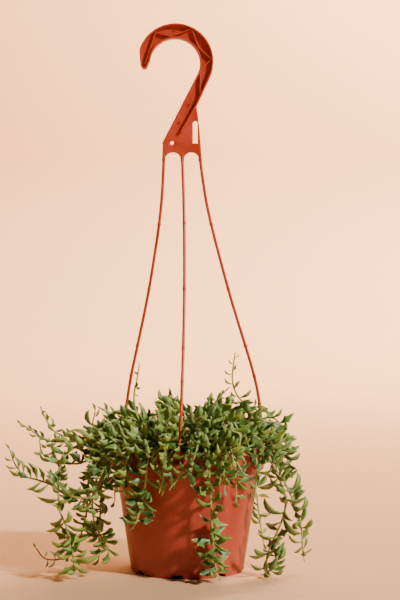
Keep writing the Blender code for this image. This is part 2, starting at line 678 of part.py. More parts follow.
def tube_solid(line, radii, sides=6):
    """Points and faces of a stout tube round a line, for keeping clear of it."""
    points, faces = [], []
    for place, point in enumerate(line):
        before, after = line[max(place - 1, 0)], line[min(place + 1, len(line) - 1)]
        along = (after - before).normalized()
        across = along.orthogonal().normalized() if place == 0 else across - along * across.dot(along)
        across.normalize()
        up = along.cross(across)
        for side in range(sides):
            angle = math.tau * side / sides
            spoke = across * math.cos(angle) + up * math.sin(angle)
            points.append(point + spoke * radii[place])
    for start in range(0, len(points) - sides, sides):
        for side in range(sides):
            after = (side + 1) % sides
            faces.append((start + side, start + after, start + sides + after, start + sides + side))
    faces.append(tuple(range(sides)))
    faces.append(tuple(range(len(points) - sides, len(points))))
    return points, faces


def turned_solid(profile, steps=40):
    """Points and faces of a turned surface, for keeping clear of it."""
    points, faces = [], []
    count = len(profile)
    for step in range(steps):
        angle = math.tau * step / steps
        points += [Vector((r * math.cos(angle), r * math.sin(angle), z)) for r, z in profile]
    for step in range(steps):
        here, there = step * count, (step + 1) % steps * count
        for place in range(count - 1):
            faces.append((here + place, here + place + 1, there + place + 1, there + place))
    return points, faces


def stand_holder(garden):
    """Put the pot, the hanger's strands, the soil's surface and the floor in the garden."""
    pot = (
        (COLLAR_INNER, RIM_HEIGHT - 20), (COLLAR_INNER, RIM_HEIGHT), (RIM_RADIUS, RIM_HEIGHT),
        (RIM_RADIUS, COLLAR_BOTTOM), (WALL_TOP_RADIUS, COLLAR_BOTTOM), (FOOT_RADIUS, 0.0))
    garden.add("pot", *turned_solid(pot))
    garden.add("soil", *turned_solid(SOIL_TOP))
    floor = [Vector((x, y, GAP)) for x, y in ((-400, -400), (400, -400), (400, 400), (-400, 400))]
    garden.add("floor", floor, [(0, 1, 2, 3)])
    for index, azimuth in enumerate(LUG_AZIMUTHS):
        line = strand_route(index)
        garden.add("hanger", *tube_solid(line, [STRAND_END_RADIUS + 0.3] * len(line)))
        centre = at_azimuth(azimuth, STRAND_CIRCLE, 0)
        lug = [centre + Vector((0, 0, height)) for height in (LUG_TOP, LUG_BOTTOM - KNOB_HEIGHT - 1)]
        garden.add("hanger", *tube_solid(lug, [7.0, 7.0]))


def rule_route(azimuth, root_radius, points):
    """A route from heights and distances: each point has a sideways swing, a radius and a height."""
    route = []
    for swing, radius, height in points:
        route.append(tuple(at_azimuth(azimuth + swing, radius, height)))
    root = at_azimuth(azimuth, root_radius, 0)
    return (root.x, root.y), route


def back_route(index, draw):
    """A trail over the back of the rim, of its own length."""
    azimuth = BACK_FROM + BACK_SPREAD * (index + draw.uniform(0.2, 0.8)) / BACK_TRAILS
    swing = draw.uniform(-14, 14)
    drop = (18, 74, 46, 92, 24, 62, 12, 84, 38, 70)[index % 10] + draw.uniform(-4, 4)
    reach = draw.uniform(90, 104)
    points = [(0, 66, 130), (swing * 0.1, 78, draw.uniform(133, 137)), (swing * 0.3, 88, 124)]
    height = 104.0
    while height > drop:
        share = (124 - height) / 112
        points.append((swing * (0.3 + 0.7 * share), 88 + (reach - 88) * share + draw.uniform(-1, 1), height))
        height -= 19
    points.append((swing, reach, drop))
    return rule_route(azimuth, draw.uniform(54, 62), points)


def crown_route(ring, index, draw):
    """A short shoot of the crown, which rises and arches outwards."""
    count, radius, rise, reach, least_droop, most_droop = CROWN_RINGS[ring]
    azimuth = 360 * (index + 0.5 * (ring % 2) + draw.uniform(-0.42, 0.42)) / count
    root_radius = max(4.0, radius + draw.uniform(-7, 6))
    soil = soil_height(root_radius)
    rise = rise * draw.uniform(0.72, 1.12)
    reach = reach * draw.uniform(0.75, 1.3)
    swing = draw.uniform(-26, 26)
    droop = draw.uniform(least_droop, most_droop) * rise
    start = root_radius + 1
    top = max(soil + rise, RIM_HEIGHT + 6)
    points = [
        (swing * 0.1, start + reach * 0.16, soil + (top - soil) * 0.55),
        (swing * 0.35, start + reach * 0.5, top - 2), (swing * 0.7, start + reach * 0.95, top + 1),
        (swing, start + reach * 1.4, top - droop * 0.5), (swing * 1.15, start + reach * 1.7, top - droop)]
    return rule_route(azimuth, root_radius, points)


def near(line, others, room):
    """True where a line comes closer to another line than the room given."""
    close = [first.lerp(second, step / 5) for first, second in zip(line, line[1:]) for step in range(5)]
    for other in others:
        for point in close:
            for first, second in zip(other, other[1:]):
                span = second - first
                share = min(max((point - first).dot(span) / span.length_squared, 0.0), 1.0)
                if (first + span * share - point).length < room:
                    return True
    return False


def lay_out_stems(garden):
    """All the stems: name, line, leaf length and distance between leaves."""
    stems = []
    for name, (root, route, leaf, pitch) in TRAILS.items():
        stems.append((name, stem_line(root, route), leaf, pitch))
    lines = [line for _, line, _, _ in stems]
    plan = [(f"trail_back_{index + 1:02d}", back_route, (index,)) for index in range(BACK_TRAILS)]
    number = 0
    for ring, numbers in enumerate(CROWN_RINGS):
        for index in range(numbers[0]):
            number += 1
            plan.append((f"crown_shoot_{number:02d}", crown_route, (ring, index)))
    for name, rule, numbers in plan:
        draw = random.Random(name)
        for _ in range(ROUTE_TRIES):
            root, route = rule(*numbers, draw)
            line = stem_line(root, route)
            stout = tube_solid(line[2:], [STEM_RADIUS + 0.5] * (len(line) - 2))
            if not near(line, lines, STEM_ROOM) and not garden.touches(*stout):
                lines.append(line)
                stems.append((name, line, RULE_LEAF, RULE_PITCH))
                break
    return stems


def stem_sides(rod_mesh, segment):
    """The outward directions of the four flat sides of one segment of a stem."""
    corners = [rod_mesh.vertices[segment * 4 + place].co for place in range(8)]
    centre = sum(corners, Vector()) / 8
    sides = []
    for side in range(4):
        after = (side + 1) % 4
        middle = (corners[side] + corners[after] + corners[side + 4] + corners[after + 4]) / 4
        sides.append((middle - centre).normalized())
    return sides


def leaf_rings(leaf_length, name):
    """Trails show their leaves from near by, so their larger leaves have a ring more."""
    plain = name.startswith(("crown", "front_shoot", "trail_back")) or leaf_length < SMALL_LEAF
    return PLAIN_RINGS if plain else TRAIL_RINGS


def draw_leaf(draw, sides, root, along, local, attempt, last):
    """A leaf that leaves the stem through one of its flat sides, its face up or away from the pot."""
    side = sides[attempt % 4]
    across = along.cross(side)
    spread = math.radians(draw.uniform(-8, 8))
    outward = side * math.cos(spread) + across * math.sin(spread)
    lean = math.radians(draw.uniform(8, 25) if last else draw.uniform(48, 80))
    direction = along * math.cos(lean) + outward * math.sin(lean)
    away = Vector((root.x, root.y, 0.0)).normalized()
    towards = Vector((0, 0, 1)) + along * draw.uniform(0, 0.7) + away * draw.uniform(-0.3, 1.8)
    fins = 1.0 if draw.random() > 0.25 else 0.0
    bend = draw.uniform(0.4, 0.95) if fins else draw.uniform(0.9, 1.6)
    shrink = 1 - 0.3 * attempt / LEAF_TRIES
    form = (local * shrink * draw.uniform(0.88, 1.08), fins, draw.uniform(0.5, 0.68), bend)
    return form, direction, towards


def clears(form, frame, name, garden):
    """True where a leaf, with room round it, touches nothing but its own stem at its root."""
    for numbers, room in ((GUARD_RINGS, LEAF_CLEARANCE), (leaf_rings(form[0], name), 0.25)):
        rings = leaf_points(form, numbers, room)
        rings = [[frame @ point for point in ring] for ring in rings]
        if garden.touches(*leaf_solid(rings), ignored=(name + " stem",)):
            return False
        if len(rings) > 3 and garden.touches(*leaf_solid(rings[1:])):
            return False
    return True


def shown_leaf(line, entry):
    """The form and frame of a leaf given by its two ends as the front view shows them."""
    (x, z), (tip_x, tip_z), (curl_x, curl_z), bend, fin_at = entry
    spots = [first.lerp(second, step / 8) for first, second in zip(line, line[1:]) for step in range(8)]
    root = min(spots, key=lambda spot: math.hypot(spot.x - x, spot.z - z))
    chord = Vector((tip_x - root.x, 0.0, tip_z - root.z))
    curl = Vector((curl_x, 0.0, curl_z))
    curl = (curl - chord * (curl.dot(chord) / chord.length_squared)).normalized()
    start = chord.normalized() * math.cos(bend / 2) - curl * math.sin(bend / 2)
    length = chord.length * (bend / 2) / math.sin(bend / 2)
    form = (length, 1.0 if fin_at else 0.0, fin_at or 0.5, bend)
    return form, leaf_place(root, start, curl)


def grow_leaves(stems, rods, garden):
    """Leaves up each stem, each one turned or shortened until it clears its neighbours."""
    leaves = {name: [] for name, _, _, _ in stems}

    def keep_leaf(name, form, frame):
        for numbers in (GUARD_RINGS, leaf_rings(form[0], name)):
            points, faces = leaf_solid(leaf_points(form, numbers))
            garden.add(name, [frame @ point for point in points], faces)
        leaves[name].append((form, frame))

    for name, line, _, _ in stems:
        garden.add(name + " stem", *tube_solid(line, [radius * 1.12 for radius in stem_radii(line)]))
    for name, line, _, _ in stems:
        for entry in SHOWN_LEAVES.get(name, ()):
            form, frame = shown_leaf(line, entry)
            if clears(form, frame, name, garden):
                keep_leaf(name, form, frame)
    for name, line, size, pitch in stems:
        draw = random.Random(name + " leaves")
        steps = [(second - first).length for first, second in zip(line, line[1:])]
        length = sum(steps)
        distance = ROOT_DEPTH + draw.uniform(7, 10)
        turn = draw.randrange(4)
        while distance < length:
            last = distance + pitch * 0.5 > length
            segment, before = 0, 0.0
            while segment < len(steps) - 1 and before + steps[segment] < distance:
                before += steps[segment]
                segment += 1
            share = min(max((distance - before) / steps[segment], 0.12), 0.78)
            root = line[segment].lerp(line[segment + 1], 0.97 if last else share)
            along = (line[segment + 1] - line[segment]).normalized()
            sides = stem_sides(rods[name].data, segment)
            turn += draw.choice((1, 1, 2))
            sides = [sides[(turn + place) % 4] for place in (0, 2, 1, 3)]
            local = size * min(1.0, 0.5 + 2.2 * (length - distance) / length)
            for attempt in range(LEAF_TRIES):
                form, direction, towards = draw_leaf(draw, sides, root, along, local, attempt, last)
                frame = leaf_place(root, direction, towards)
                if clears(form, frame, name, garden):
                    keep_leaf(name, form, frame)
                    break
            distance += pitch * (0.55 + 0.45 * local / size) * draw.uniform(0.85, 1.15)
            if last:
                break
    return leaves


def join_leaves(name, stem, leaves, workshop):
    solids = []
    for form, frame in leaves:
        points, faces = leaf_solid(leaf_points(form, leaf_rings(form[0], name)))
        shape = bmesh.new()
        corners = [shape.verts.new(frame @ point) for point in points]
        for face in faces:
            shape.faces.new([corners[corner] for corner in face])
        bmesh.ops.recalc_face_normals(shape, faces=shape.faces)
        solids.append(shape_object("leaf", shape, workshop))
    if solids:
        boolean(stem, "UNION", solids, "join_leaves")
    return stem


def main():
    clear_scene()
    parts = new_collection("potted_string_of_dolphins")
    workshop = new_collection("workshop")
    terracotta = plastic("terracotta_plastic", (0.50, 0.105, 0.045), 0.5)
    hanger_plastic = plastic("hanger_plastic", (0.56, 0.10, 0.04), 0.45)
    potting_mix = plastic("potting_mix", (0.045, 0.03, 0.02), 0.95)
    leaf_green = plastic("leaf_green", (0.13, 0.25, 0.085), 0.45)

    garden = Garden()
    stand_holder(garden)
    stems = lay_out_stems(garden)
    rods = {name: rod(name, line, stem_radii(line), 0, workshop) for name, line, _, _ in stems}
    leaves = grow_leaves(stems, rods, garden)
    roots = [(line[0].x, line[0].y) for _, line, _, _ in stems]

    finish_piece(make_pot(workshop), "pot", terracotta, parts, 30)
    finish_piece(make_hanger(workshop), "hanger", hanger_plastic, parts, 40)
    finish_piece(make_soil(roots, workshop), "soil", potting_mix, parts, 60)
    for name, line, _, _ in stems:
        stem = join_leaves(name, rods[name], leaves[name], workshop)
        finish_piece(stem, name, leaf_green, parts, 60)
    bpy.data.collections.remove(workshop)


main()
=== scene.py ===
import json
import math
import random

import bmesh
import bpy
from mathutils import Matrix, Vector, noise
from mathutils.bvhtree import BVHTree

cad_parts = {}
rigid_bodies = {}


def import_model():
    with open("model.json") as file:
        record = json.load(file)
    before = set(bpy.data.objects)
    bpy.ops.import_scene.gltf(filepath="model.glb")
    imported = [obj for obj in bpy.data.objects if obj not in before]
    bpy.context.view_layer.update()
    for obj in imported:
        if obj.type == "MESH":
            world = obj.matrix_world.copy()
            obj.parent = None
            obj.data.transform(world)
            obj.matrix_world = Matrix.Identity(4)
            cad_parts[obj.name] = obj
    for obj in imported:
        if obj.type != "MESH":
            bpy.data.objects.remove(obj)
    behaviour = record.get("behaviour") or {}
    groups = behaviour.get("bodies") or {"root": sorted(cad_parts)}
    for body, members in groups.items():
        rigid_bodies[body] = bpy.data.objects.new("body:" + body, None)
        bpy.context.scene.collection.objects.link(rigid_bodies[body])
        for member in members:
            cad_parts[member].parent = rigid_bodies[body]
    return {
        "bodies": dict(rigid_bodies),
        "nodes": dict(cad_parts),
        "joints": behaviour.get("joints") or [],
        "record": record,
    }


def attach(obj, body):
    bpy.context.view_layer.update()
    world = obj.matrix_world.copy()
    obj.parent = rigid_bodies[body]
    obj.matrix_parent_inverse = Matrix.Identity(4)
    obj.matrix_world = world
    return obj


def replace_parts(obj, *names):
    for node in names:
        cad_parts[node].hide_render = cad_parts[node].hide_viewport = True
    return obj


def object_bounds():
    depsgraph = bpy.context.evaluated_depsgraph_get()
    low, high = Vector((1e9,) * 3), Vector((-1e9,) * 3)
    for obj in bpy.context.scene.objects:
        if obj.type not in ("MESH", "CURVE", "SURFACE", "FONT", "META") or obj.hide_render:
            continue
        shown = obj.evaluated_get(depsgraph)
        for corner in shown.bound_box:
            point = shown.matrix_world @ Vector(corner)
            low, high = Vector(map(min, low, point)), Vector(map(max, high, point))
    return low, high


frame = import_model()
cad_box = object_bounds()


# The studio: a wide pale matt floor that sweeps up into a wall far behind, a low soft-edged light from
# the right and in front, a weak lamp on the left, a lamp for the wall, and a camera level with the
# strands' middle.

class Tone:
    """A number in a material, so that shader maths reads as plain sums."""

    def __init__(self, finish, socket):
        self.finish = finish
        self.socket = socket

    def _sum(self, operation, first, second):
        return self.finish.node("ShaderNodeMath", {"operation": operation}, {0: first, 1: second})

    def __add__(self, other):
        return self._sum("ADD", self, other)

    def __radd__(self, other):
        return self._sum("ADD", other, self)

    def __mul__(self, other):
        return self._sum("MULTIPLY", self, other)


class Finish:
    """A material, built node by node on the object's own coordinates."""

    def __init__(self, name):
        self.material = bpy.data.materials.new(name)
        self.material.use_nodes = True
        self.tree = self.material.node_tree
        self.shader = self.tree.nodes["Principled BSDF"]

    def feed(self, socket, value):
        """Link a tone to a socket, or set a plain value there."""
        if isinstance(value, Tone):
            self.tree.links.new(value.socket, socket)
        else:
            socket.default_value = value

    def node(self, kind, settings=None, sockets=None, output=0):
        """A new node with its settings and inputs, as the tone that it puts out."""
        item = self.tree.nodes.new(kind)
        for name, value in (settings or {}).items():
            setattr(item, name, value)
        for name, value in (sockets or {}).items():
            self.feed(item.inputs[name], value)
        return Tone(self, item.outputs[output])

    def place(self):
        """The object's own coordinates."""
        return self.node("ShaderNodeTexCoord", output=3)

    def stretched(self, scale):
        """The object's coordinates with a scale for each axis."""
        return self.node("ShaderNodeMapping", {}, {"Vector": self.place(), "Scale": scale})

    def cloudy(self, scale, detail, place=None):
        """Soft noise around one half."""
        return self.node("ShaderNodeTexNoise", {}, {
            "Vector": place or self.place(), "Scale": scale, "Detail": detail})

    def ramp(self, value, low, high):
        """0 below low and 1 above high."""
        return self.node("ShaderNodeMapRange", {"clamp": True, "interpolation_type": "SMOOTHSTEP"}, {
            "Value": value, "From Min": low, "From Max": high})

    def mix(self, share, first, second):
        """The first colour, with a share of the second."""
        first, second = [
            colour if isinstance(colour, Tone) else (*colour, 1.0) for colour in (first, second)]
        return self.node("ShaderNodeMix", {"data_type": "RGBA"}, {0: share, 6: first, 7: second}, output=2)

    def surface(self, colour, roughness, relief=None, depth=0.0001, strength=0.3):
        """Feed the shader, with a relief of this depth in metres."""
        self.feed(self.shader.inputs["Base Color"], colour if isinstance(colour, Tone) else (*colour, 1.0))
        self.feed(self.shader.inputs["Roughness"], roughness)
        if relief:
            bump = self.node("ShaderNodeBump", {}, {
                "Height": relief, "Strength": strength, "Distance": depth})
            self.feed(self.shader.inputs["Normal"], bump)
        return self.material


def workshop_object(name, shape):
    """An object at the origin from a bmesh, which is used up."""
    mesh = bpy.data.meshes.new(name)
    shape.to_mesh(mesh)
    shape.free()
    item = bpy.data.objects.new(name, mesh)
    bpy.context.scene.collection.objects.link(item)
    return item


def new_piece(name, shape, material):
    """A finished object from a bmesh in metres."""
    item = workshop_object(name, shape)
    item.data.materials.append(material)
    item.data.shade_smooth()
    return item


CAMERA_X = 0.0129
CAMERA_HEIGHT = 0.2766
CAMERA_DISTANCE = 1.479
CAMERA_LENS = 86.2
FLOOR_REACH = 60.0
SWEEP_START = 3.8
SWEEP_LEAD = 0.2
SWEEP_RADIUS = 0.9
SWEEP_STEPS = 12
WALL_HEIGHT = 5.0

pale_floor = Finish("pale_floor").surface((0.74, 0.44, 0.24), 0.75)
sweep = bmesh.new()
profile = [(-FLOOR_REACH, 0.0), (SWEEP_START - SWEEP_LEAD, 0.0), (SWEEP_START, 0.0)]
for step in range(1, SWEEP_STEPS + 1):
    angle = math.radians(90 * step / SWEEP_STEPS)
    profile.append((SWEEP_START + SWEEP_RADIUS * math.sin(angle), SWEEP_RADIUS * (1 - math.cos(angle))))
profile.append((SWEEP_START + SWEEP_RADIUS, WALL_HEIGHT))
edge = [sweep.verts.new((-FLOOR_REACH, depth, height)) for depth, height in profile]
lines = [sweep.edges.new(pair) for pair in zip(edge, edge[1:])]
wide = bmesh.ops.extrude_edge_only(sweep, edges=lines)["geom"]
far_side = [item for item in wide if isinstance(item, bmesh.types.BMVert)]
bmesh.ops.translate(sweep, vec=(2 * FLOOR_REACH, 0.0, 0.0), verts=far_side)
bmesh.ops.recalc_face_normals(sweep, faces=sweep.faces)
if sum(face.normal.z for face in sweep.faces) < 0:
    bmesh.ops.reverse_faces(sweep, faces=sweep.faces)
floor = new_piece("studio_floor", sweep, pale_floor)

world = bpy.data.worlds.new("studio_air")
world.use_nodes = True
world.node_tree.nodes["Background"].inputs["Color"].default_value = (1.0, 0.90, 0.80, 1.0)
world.node_tree.nodes["Background"].inputs["Strength"].default_value = 0.015
bpy.context.scene.world = world


def aimed_light(name, kind, place, target, power, colour):
    """A light at a place, turned towards a target."""
    light = bpy.data.lights.new(name, kind)
    light.energy = power
    light.color = colour
    item = bpy.data.objects.new(name, light)
    item.location = place
    item.rotation_euler = (Vector(target) - Vector(place)).to_track_quat("-Z", "Y").to_euler()
    bpy.context.scene.collection.objects.link(item)
    return light


def soft_light(name, place, target, size, power, colour):
    """A round soft lamp of this size."""
    light = aimed_light(name, "AREA", place, target, power, colour)
    light.shape = "DISK"
    light.size = size


key = aimed_light("key_light", "SUN", (3.08, -2.25, 2.35), (0.0, 0.0, 0.12), 5.6, (1.0, 0.93, 0.82))
key.angle = math.radians(5.3)
soft_light("fill_light", (-1.2, -1.8, 0.9), (0.0, 0.0, 0.2), 1.6, 0.1, (1.0, 0.93, 0.88))
soft_light("backdrop_light", (2.0, 2.7, 3.5), (0.2, 4.8, 1.9), 1.6, 900.0, (1.0, 0.77, 0.52))

camera = bpy.data.cameras.new("camera")
camera.lens = CAMERA_LENS
camera.sensor_fit = "AUTO"
camera.sensor_width = 36.0
view = bpy.data.objects.new("camera", camera)
view.location = (CAMERA_X, -CAMERA_DISTANCE, CAMERA_HEIGHT)
view.rotation_euler = (math.radians(90), 0.0, 0.0)
bpy.context.scene.collection.objects.link(view)
bpy.context.scene.camera = view


# The pot: a thin moulding in satin terracotta-coloured plastic, six inches across the rim. A collar
# stands out below the rim, the foot ring is notched for drainage, and three lugs take the hanger.
MM = 0.001
GAP = 0.3
RIM_RADIUS = 79.2
RIM_HEIGHT = 128.2
COLLAR_BOTTOM = 104.0
COLLAR_INNER = 77.4
WALL_TOP_RADIUS = 73.8
WALL_TOP_INNER = 72.2
FOOT_RADIUS = 57.8
FLOOR_RADIUS = 55.0
FLOOR_TOP = 6.0
FLOOR_UNDER = 4.4
FOOT_RING_WIDTH = 3.6
PAD_RADIUS = 9.0
POT_CORNER = 0.8
POT_STEPS = 128
NOTCH_COUNT = 8
NOTCH_WIDTH = 12.0
NOTCH_HEIGHT = 4.0
NOTCH_TURN = -9.0
DRAIN_COUNT = 6
DRAIN_RADIUS = 3.5
DRAIN_CIRCLE = 40.0
STRAND_CIRCLE = 82.5
LUG_AZIMUTHS = (-5.0, 108.0, -124.0)
LUG_BOTTOM = 112.0
LUG_TOP = 118.0
LUG_WIDTH = 9.0
LUG_OUTER = 87.0
LUG_ROOT = 1.4
LUG_CORNER = 0.8
LUG_HOLE = 2.1
CUT_PAST = 2.0


def at_azimuth(azimuth, radius, height):
    """A point at an azimuth from the front (-Y) towards +X."""
    angle = math.radians(azimuth)
    return Vector((radius * math.sin(angle), -radius * math.cos(angle), height))


def eased(profile, radius, steps=3):
    """A profile with each of its corners rounded off."""
    points = [profile[0]]
    for before, corner, after in zip(profile, profile[1:], profile[2:]):
        before, corner, after = Vector(before), Vector(corner), Vector(after)
        reach = min(radius, (before - corner).length * 0.45, (after - corner).length * 0.45)
        start = corner + (before - corner).normalized() * reach
        end = corner + (after - corner).normalized() * reach
        for step in range(steps + 1):
            share = step / steps
            points.append(tuple(start.lerp(corner, share).lerp(corner.lerp(end, share), share)))
    return points + [profile[-1]]


def turned_shape(profile, steps):
    """A closed shape turned about Z from a profile of radius and height."""
    shape = bmesh.new()
    points = [shape.verts.new((radius, 0.0, height)) for radius, height in profile]
    lines = [shape.edges.new(pair) for pair in zip(points, points[1:])]
    bmesh.ops.spin(
        shape, geom=points + lines, cent=(0, 0, 0), axis=(0, 0, 1), angle=math.tau, steps=steps,
        use_merge=True, use_duplicate=False)
    bmesh.ops.remove_doubles(shape, verts=shape.verts, dist=0.0005)
    bmesh.ops.recalc_face_normals(shape, faces=shape.faces)
    return shape


def soft_block(name, size, centre, azimuth, edge, taper=1.0):
    """A box with rounded edges that faces an azimuth; taper narrows its top."""
    shape = bmesh.new()
    bmesh.ops.create_cube(shape, size=1.0)
    for point in shape.verts:
        if point.co.z > 0:
            point.co.x *= taper
    bmesh.ops.scale(shape, vec=size, verts=shape.verts)
    bmesh.ops.bevel(
        shape, geom=shape.edges[:], offset=edge, segments=3, affect="EDGES", profile=0.5, material=-1)
    turn = Matrix.Rotation(math.radians(azimuth), 4, "Z")
    bmesh.ops.transform(shape, matrix=Matrix.Translation(centre) @ turn, verts=shape.verts)
    return workshop_object(name, shape)


def upright_peg(name, radius, bottom, top, place, sides=32, top_radius=None):
    """A round peg between two heights, which may be wider at its top."""
    shape = bmesh.new()
    bmesh.ops.create_cone(
        shape, cap_ends=True, segments=sides, radius1=radius,
        radius2=radius if top_radius is None else top_radius, depth=top - bottom)
    bmesh.ops.translate(shape, vec=(place[0], place[1], (top + bottom) / 2), verts=shape.verts)
    return workshop_object(name, shape)


def combine(item, operation, others):
    """Join or cut with a set of solids, which then go."""
    tools = bpy.data.collections.new("tools")
    bpy.context.scene.collection.children.link(tools)
    for other in others:
        bpy.context.scene.collection.objects.unlink(other)
        tools.objects.link(other)
    step = item.modifiers.new("combine", "BOOLEAN")
    step.operation = operation
    step.operand_type = "COLLECTION"
    step.collection = tools
    step.solver = "EXACT"
    bpy.context.view_layer.update()
    graph = bpy.context.evaluated_depsgraph_get()
    mesh = bpy.data.meshes.new_from_object(item.evaluated_get(graph), depsgraph=graph)
    item.modifiers.clear()
    item.data = mesh
    for other in others:
        bpy.data.objects.remove(other, do_unlink=True)
    bpy.data.collections.remove(tools)


def finished(item, name, material, sharp):
    """Scale a workshop object's mesh to metres and dress it."""
    item.name = name
    item.data.transform(Matrix.Scale(MM, 4))
    item.data.materials.clear()
    item.data.materials.append(material)
    item.data.shade_smooth()
    item.data.set_sharp_from_angle(angle=math.radians(sharp))
    return item


pot_profile = eased((
    (0.0, FLOOR_TOP), (FLOOR_RADIUS, FLOOR_TOP), (WALL_TOP_INNER, COLLAR_BOTTOM + 1.5),
    (COLLAR_INNER - 0.2, COLLAR_BOTTOM + 2.4), (COLLAR_INNER, RIM_HEIGHT),
    (RIM_RADIUS, RIM_HEIGHT), (RIM_RADIUS - 0.6, COLLAR_BOTTOM), (WALL_TOP_RADIUS, COLLAR_BOTTOM),
    (FOOT_RADIUS, 0.0), (FOOT_RADIUS - FOOT_RING_WIDTH, 0.0), (FOOT_RADIUS - 4.2, FLOOR_UNDER),
    (PAD_RADIUS + 1.0, FLOOR_UNDER), (PAD_RADIUS, 0.0), (0.0, 0.0)), POT_CORNER)
pot = workshop_object("pot_body", turned_shape(pot_profile, POT_STEPS))
lug_depth = LUG_OUTER - RIM_RADIUS + LUG_ROOT
lug_size = (LUG_WIDTH, lug_depth, LUG_TOP - LUG_BOTTOM)
lugs = []
cutters = []
for azimuth in LUG_AZIMUTHS:
    middle = at_azimuth(azimuth, LUG_OUTER - lug_depth / 2, (LUG_BOTTOM + LUG_TOP) / 2)
    lugs.append(soft_block("lug", lug_size, middle, azimuth, LUG_CORNER))
    spot = at_azimuth(azimuth, STRAND_CIRCLE, 0)
    cutters.append(upright_peg("lug_hole", LUG_HOLE, LUG_BOTTOM - CUT_PAST, LUG_TOP + CUT_PAST, spot))
combine(pot, "UNION", lugs)
for index in range(NOTCH_COUNT):
    azimuth = NOTCH_TURN + index * 360 / NOTCH_COUNT
    middle = at_azimuth(azimuth, FOOT_RADIUS - 0.5, NOTCH_HEIGHT / 2 - 1)
    cutters.append(soft_block(
        "notch", (NOTCH_WIDTH + 3, 10.0, NOTCH_HEIGHT + 2), middle, azimuth, 0.6, taper=0.6))
for index in range(DRAIN_COUNT):
    spot = at_azimuth(NOTCH_TURN + (index + 0.5) * 360 / DRAIN_COUNT, DRAIN_CIRCLE, 0)
    cutters.append(upright_peg("drain", DRAIN_RADIUS, FLOOR_UNDER - CUT_PAST, FLOOR_TOP + CUT_PAST, spot))
combine(pot, "DIFFERENCE", cutters)

clay = Finish("pot_plastic")
clouds = clay.cloudy(14.0, 4.0)
# Lighter vertical streaks all round the pot: a painted reflection of upright highlights, not a mark in the
# plastic.
painted_reflection_streaks = clay.cloudy(1.0, 3.0, clay.stretched((55.0, 55.0, 7.0)))
grain = clay.cloudy(1500.0, 2.0)
tint = clay.mix(clay.ramp(clouds, 0.3, 0.7), (0.31, 0.038, 0.020), (0.37, 0.051, 0.028))
tint = clay.mix(clay.ramp(painted_reflection_streaks, 0.55, 0.8) * 0.25, tint, (0.43, 0.078, 0.042))
scuffs = clay.ramp(clay.cloudy(1.0, 6.0, clay.stretched((260.0, 260.0, 60.0))), 0.66, 0.76) * 0.3
tint = clay.mix(scuffs, tint, (0.50, 0.12, 0.065))
clay.surface(tint, 0.36 + clouds * 0.12 + scuffs * 0.4, grain + clouds * 4.0, 0.00008, 0.25)
finished(pot, "pot_finished", clay.material, 32)
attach(pot, "root")
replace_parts(pot, "pot")


# The hanger: one moulding in a brighter plastic of the same kind. A flat hook with rims and zigzag ribs
# runs into a plate with a label slot, and three strands go down to knobs caught under the pot's lugs.
HOOK_OUTER_CENTRE = (-12.3, 521.7)
HOOK_OUTER_RADIUS = 38.1
HOOK_OUTER_TURN = (162, -23.4)
HOOK_INNER_CENTRE = (-12.85, 519.7)
HOOK_INNER_RADIUS = 26.6
HOOK_INNER_TURN = (-26.3, 175)
HOOK_TIP = ((-40.6, 520.2), (-41.9, 516.6), (-44.3, 515.0), (-46.9, 516.9), (-47.9, 523.0))
SHANK_LEFT = ((-25.4, 436.7), (11.0, 507.9))
SHANK_RIGHT = ((22.7, 506.6), (9.6, 478.0), (-6.7, 449.0))
TRUSS = (
    (-43.8, 518.5), (-32.9, 551.6), (-16.5, 547.5), (4.5, 555.3), (11.4, 535.6),
    (25.0, 524.0), (13.2, 514.0), (12.9, 487.0),
)
FLANGE_WIDTH = 1.8
FLANGE_HALF_DEPTH = 5.0
TRUSS_WIDTH = 1.4
TRUSS_HALF_DEPTH = 4.0
WEB_HALF_DEPTH = 0.8
PLATE_HALF_DEPTH = 1.1
PLATE_BOTTOM = 421.0
PLATE_LEFT = ((-26.1, 421.0), (-25.6, 436.9), (-6.0, 475.0))
PLATE_RIGHT = ((9.2, 477.5), (12.5, 451.3), (14.7, 421.0))
ARCHES = ((11.6, -3.7), (-6.9, -23.0))
ARCH_HEIGHT = 7.5
SLOT_CENTRE = (8.0, 449.2)
SLOT_SIZE = (5.0, 23.0)
PLATE_HOLE = (-15.9, 438.1)
PLATE_HOLE_RADIUS = 1.9
PIN_MARKS = ((0.3, 477.0), (-9.8, 458.2), (-15.0, 553.0))
PIN_MARK_RADIUS = 1.7
PIN_MARK_DEPTH = 2.0
STRAND_TOPS = (-5.3, 13.2, -24.5)
STRAND_RADIUS = 1.6
STRAND_SWAY = (
    (0.0, 0.0), (0.07, 0.04), (0.165, 0.11), (0.275, 0.225), (0.434, 0.415), (0.534, 0.545),
    (0.66, 0.72), (0.77, 0.864), (0.87, 0.95), (1.0, 1.0),
)
STRAND_BOWS = (3.4, 0.0, 3.7)
STRAND_FOOT = 130.0
KNOB_RADIUS = 3.0
KNOB_LOW_RADIUS = 2.0
KNOB_HEIGHT = 5.0
NUB_HEIGHTS = (421.8, 355.9, 290.0, 229.2, 196.3, 168.0)
NUB_STEPS = (-2.2, -1.2, 1.2, 2.2)
NUB_RADII = (1.2, 1.95, 1.95, 1.2)


def smooth_route(points, count=12):
    """A Catmull-Rom curve through the points, as a list of closely spaced points."""
    ends = [points[0] * 2 - points[1], *points, points[-1] * 2 - points[-2]]
    result = [points[0]]
    for a, b, c, d in zip(ends, ends[1:], ends[2:], ends[3:]):
        for step in range(1, count + 1):
            t = step / count
            result.append(0.5 * (
                2 * b + (c - a) * t + (2 * a - 5 * b + 4 * c - d) * t * t
                + (3 * b - a - 3 * c + d) * t * t * t))
    return result


def arc(centre, radii, start, end, count):
    """Points of an elliptical arc, angles in degrees from +X."""
    points = []
    for step in range(count + 1):
        angle = math.radians(start + (end - start) * step / count)
        points.append((centre[0] + radii[0] * math.cos(angle), centre[1] + radii[1] * math.sin(angle)))
    return points


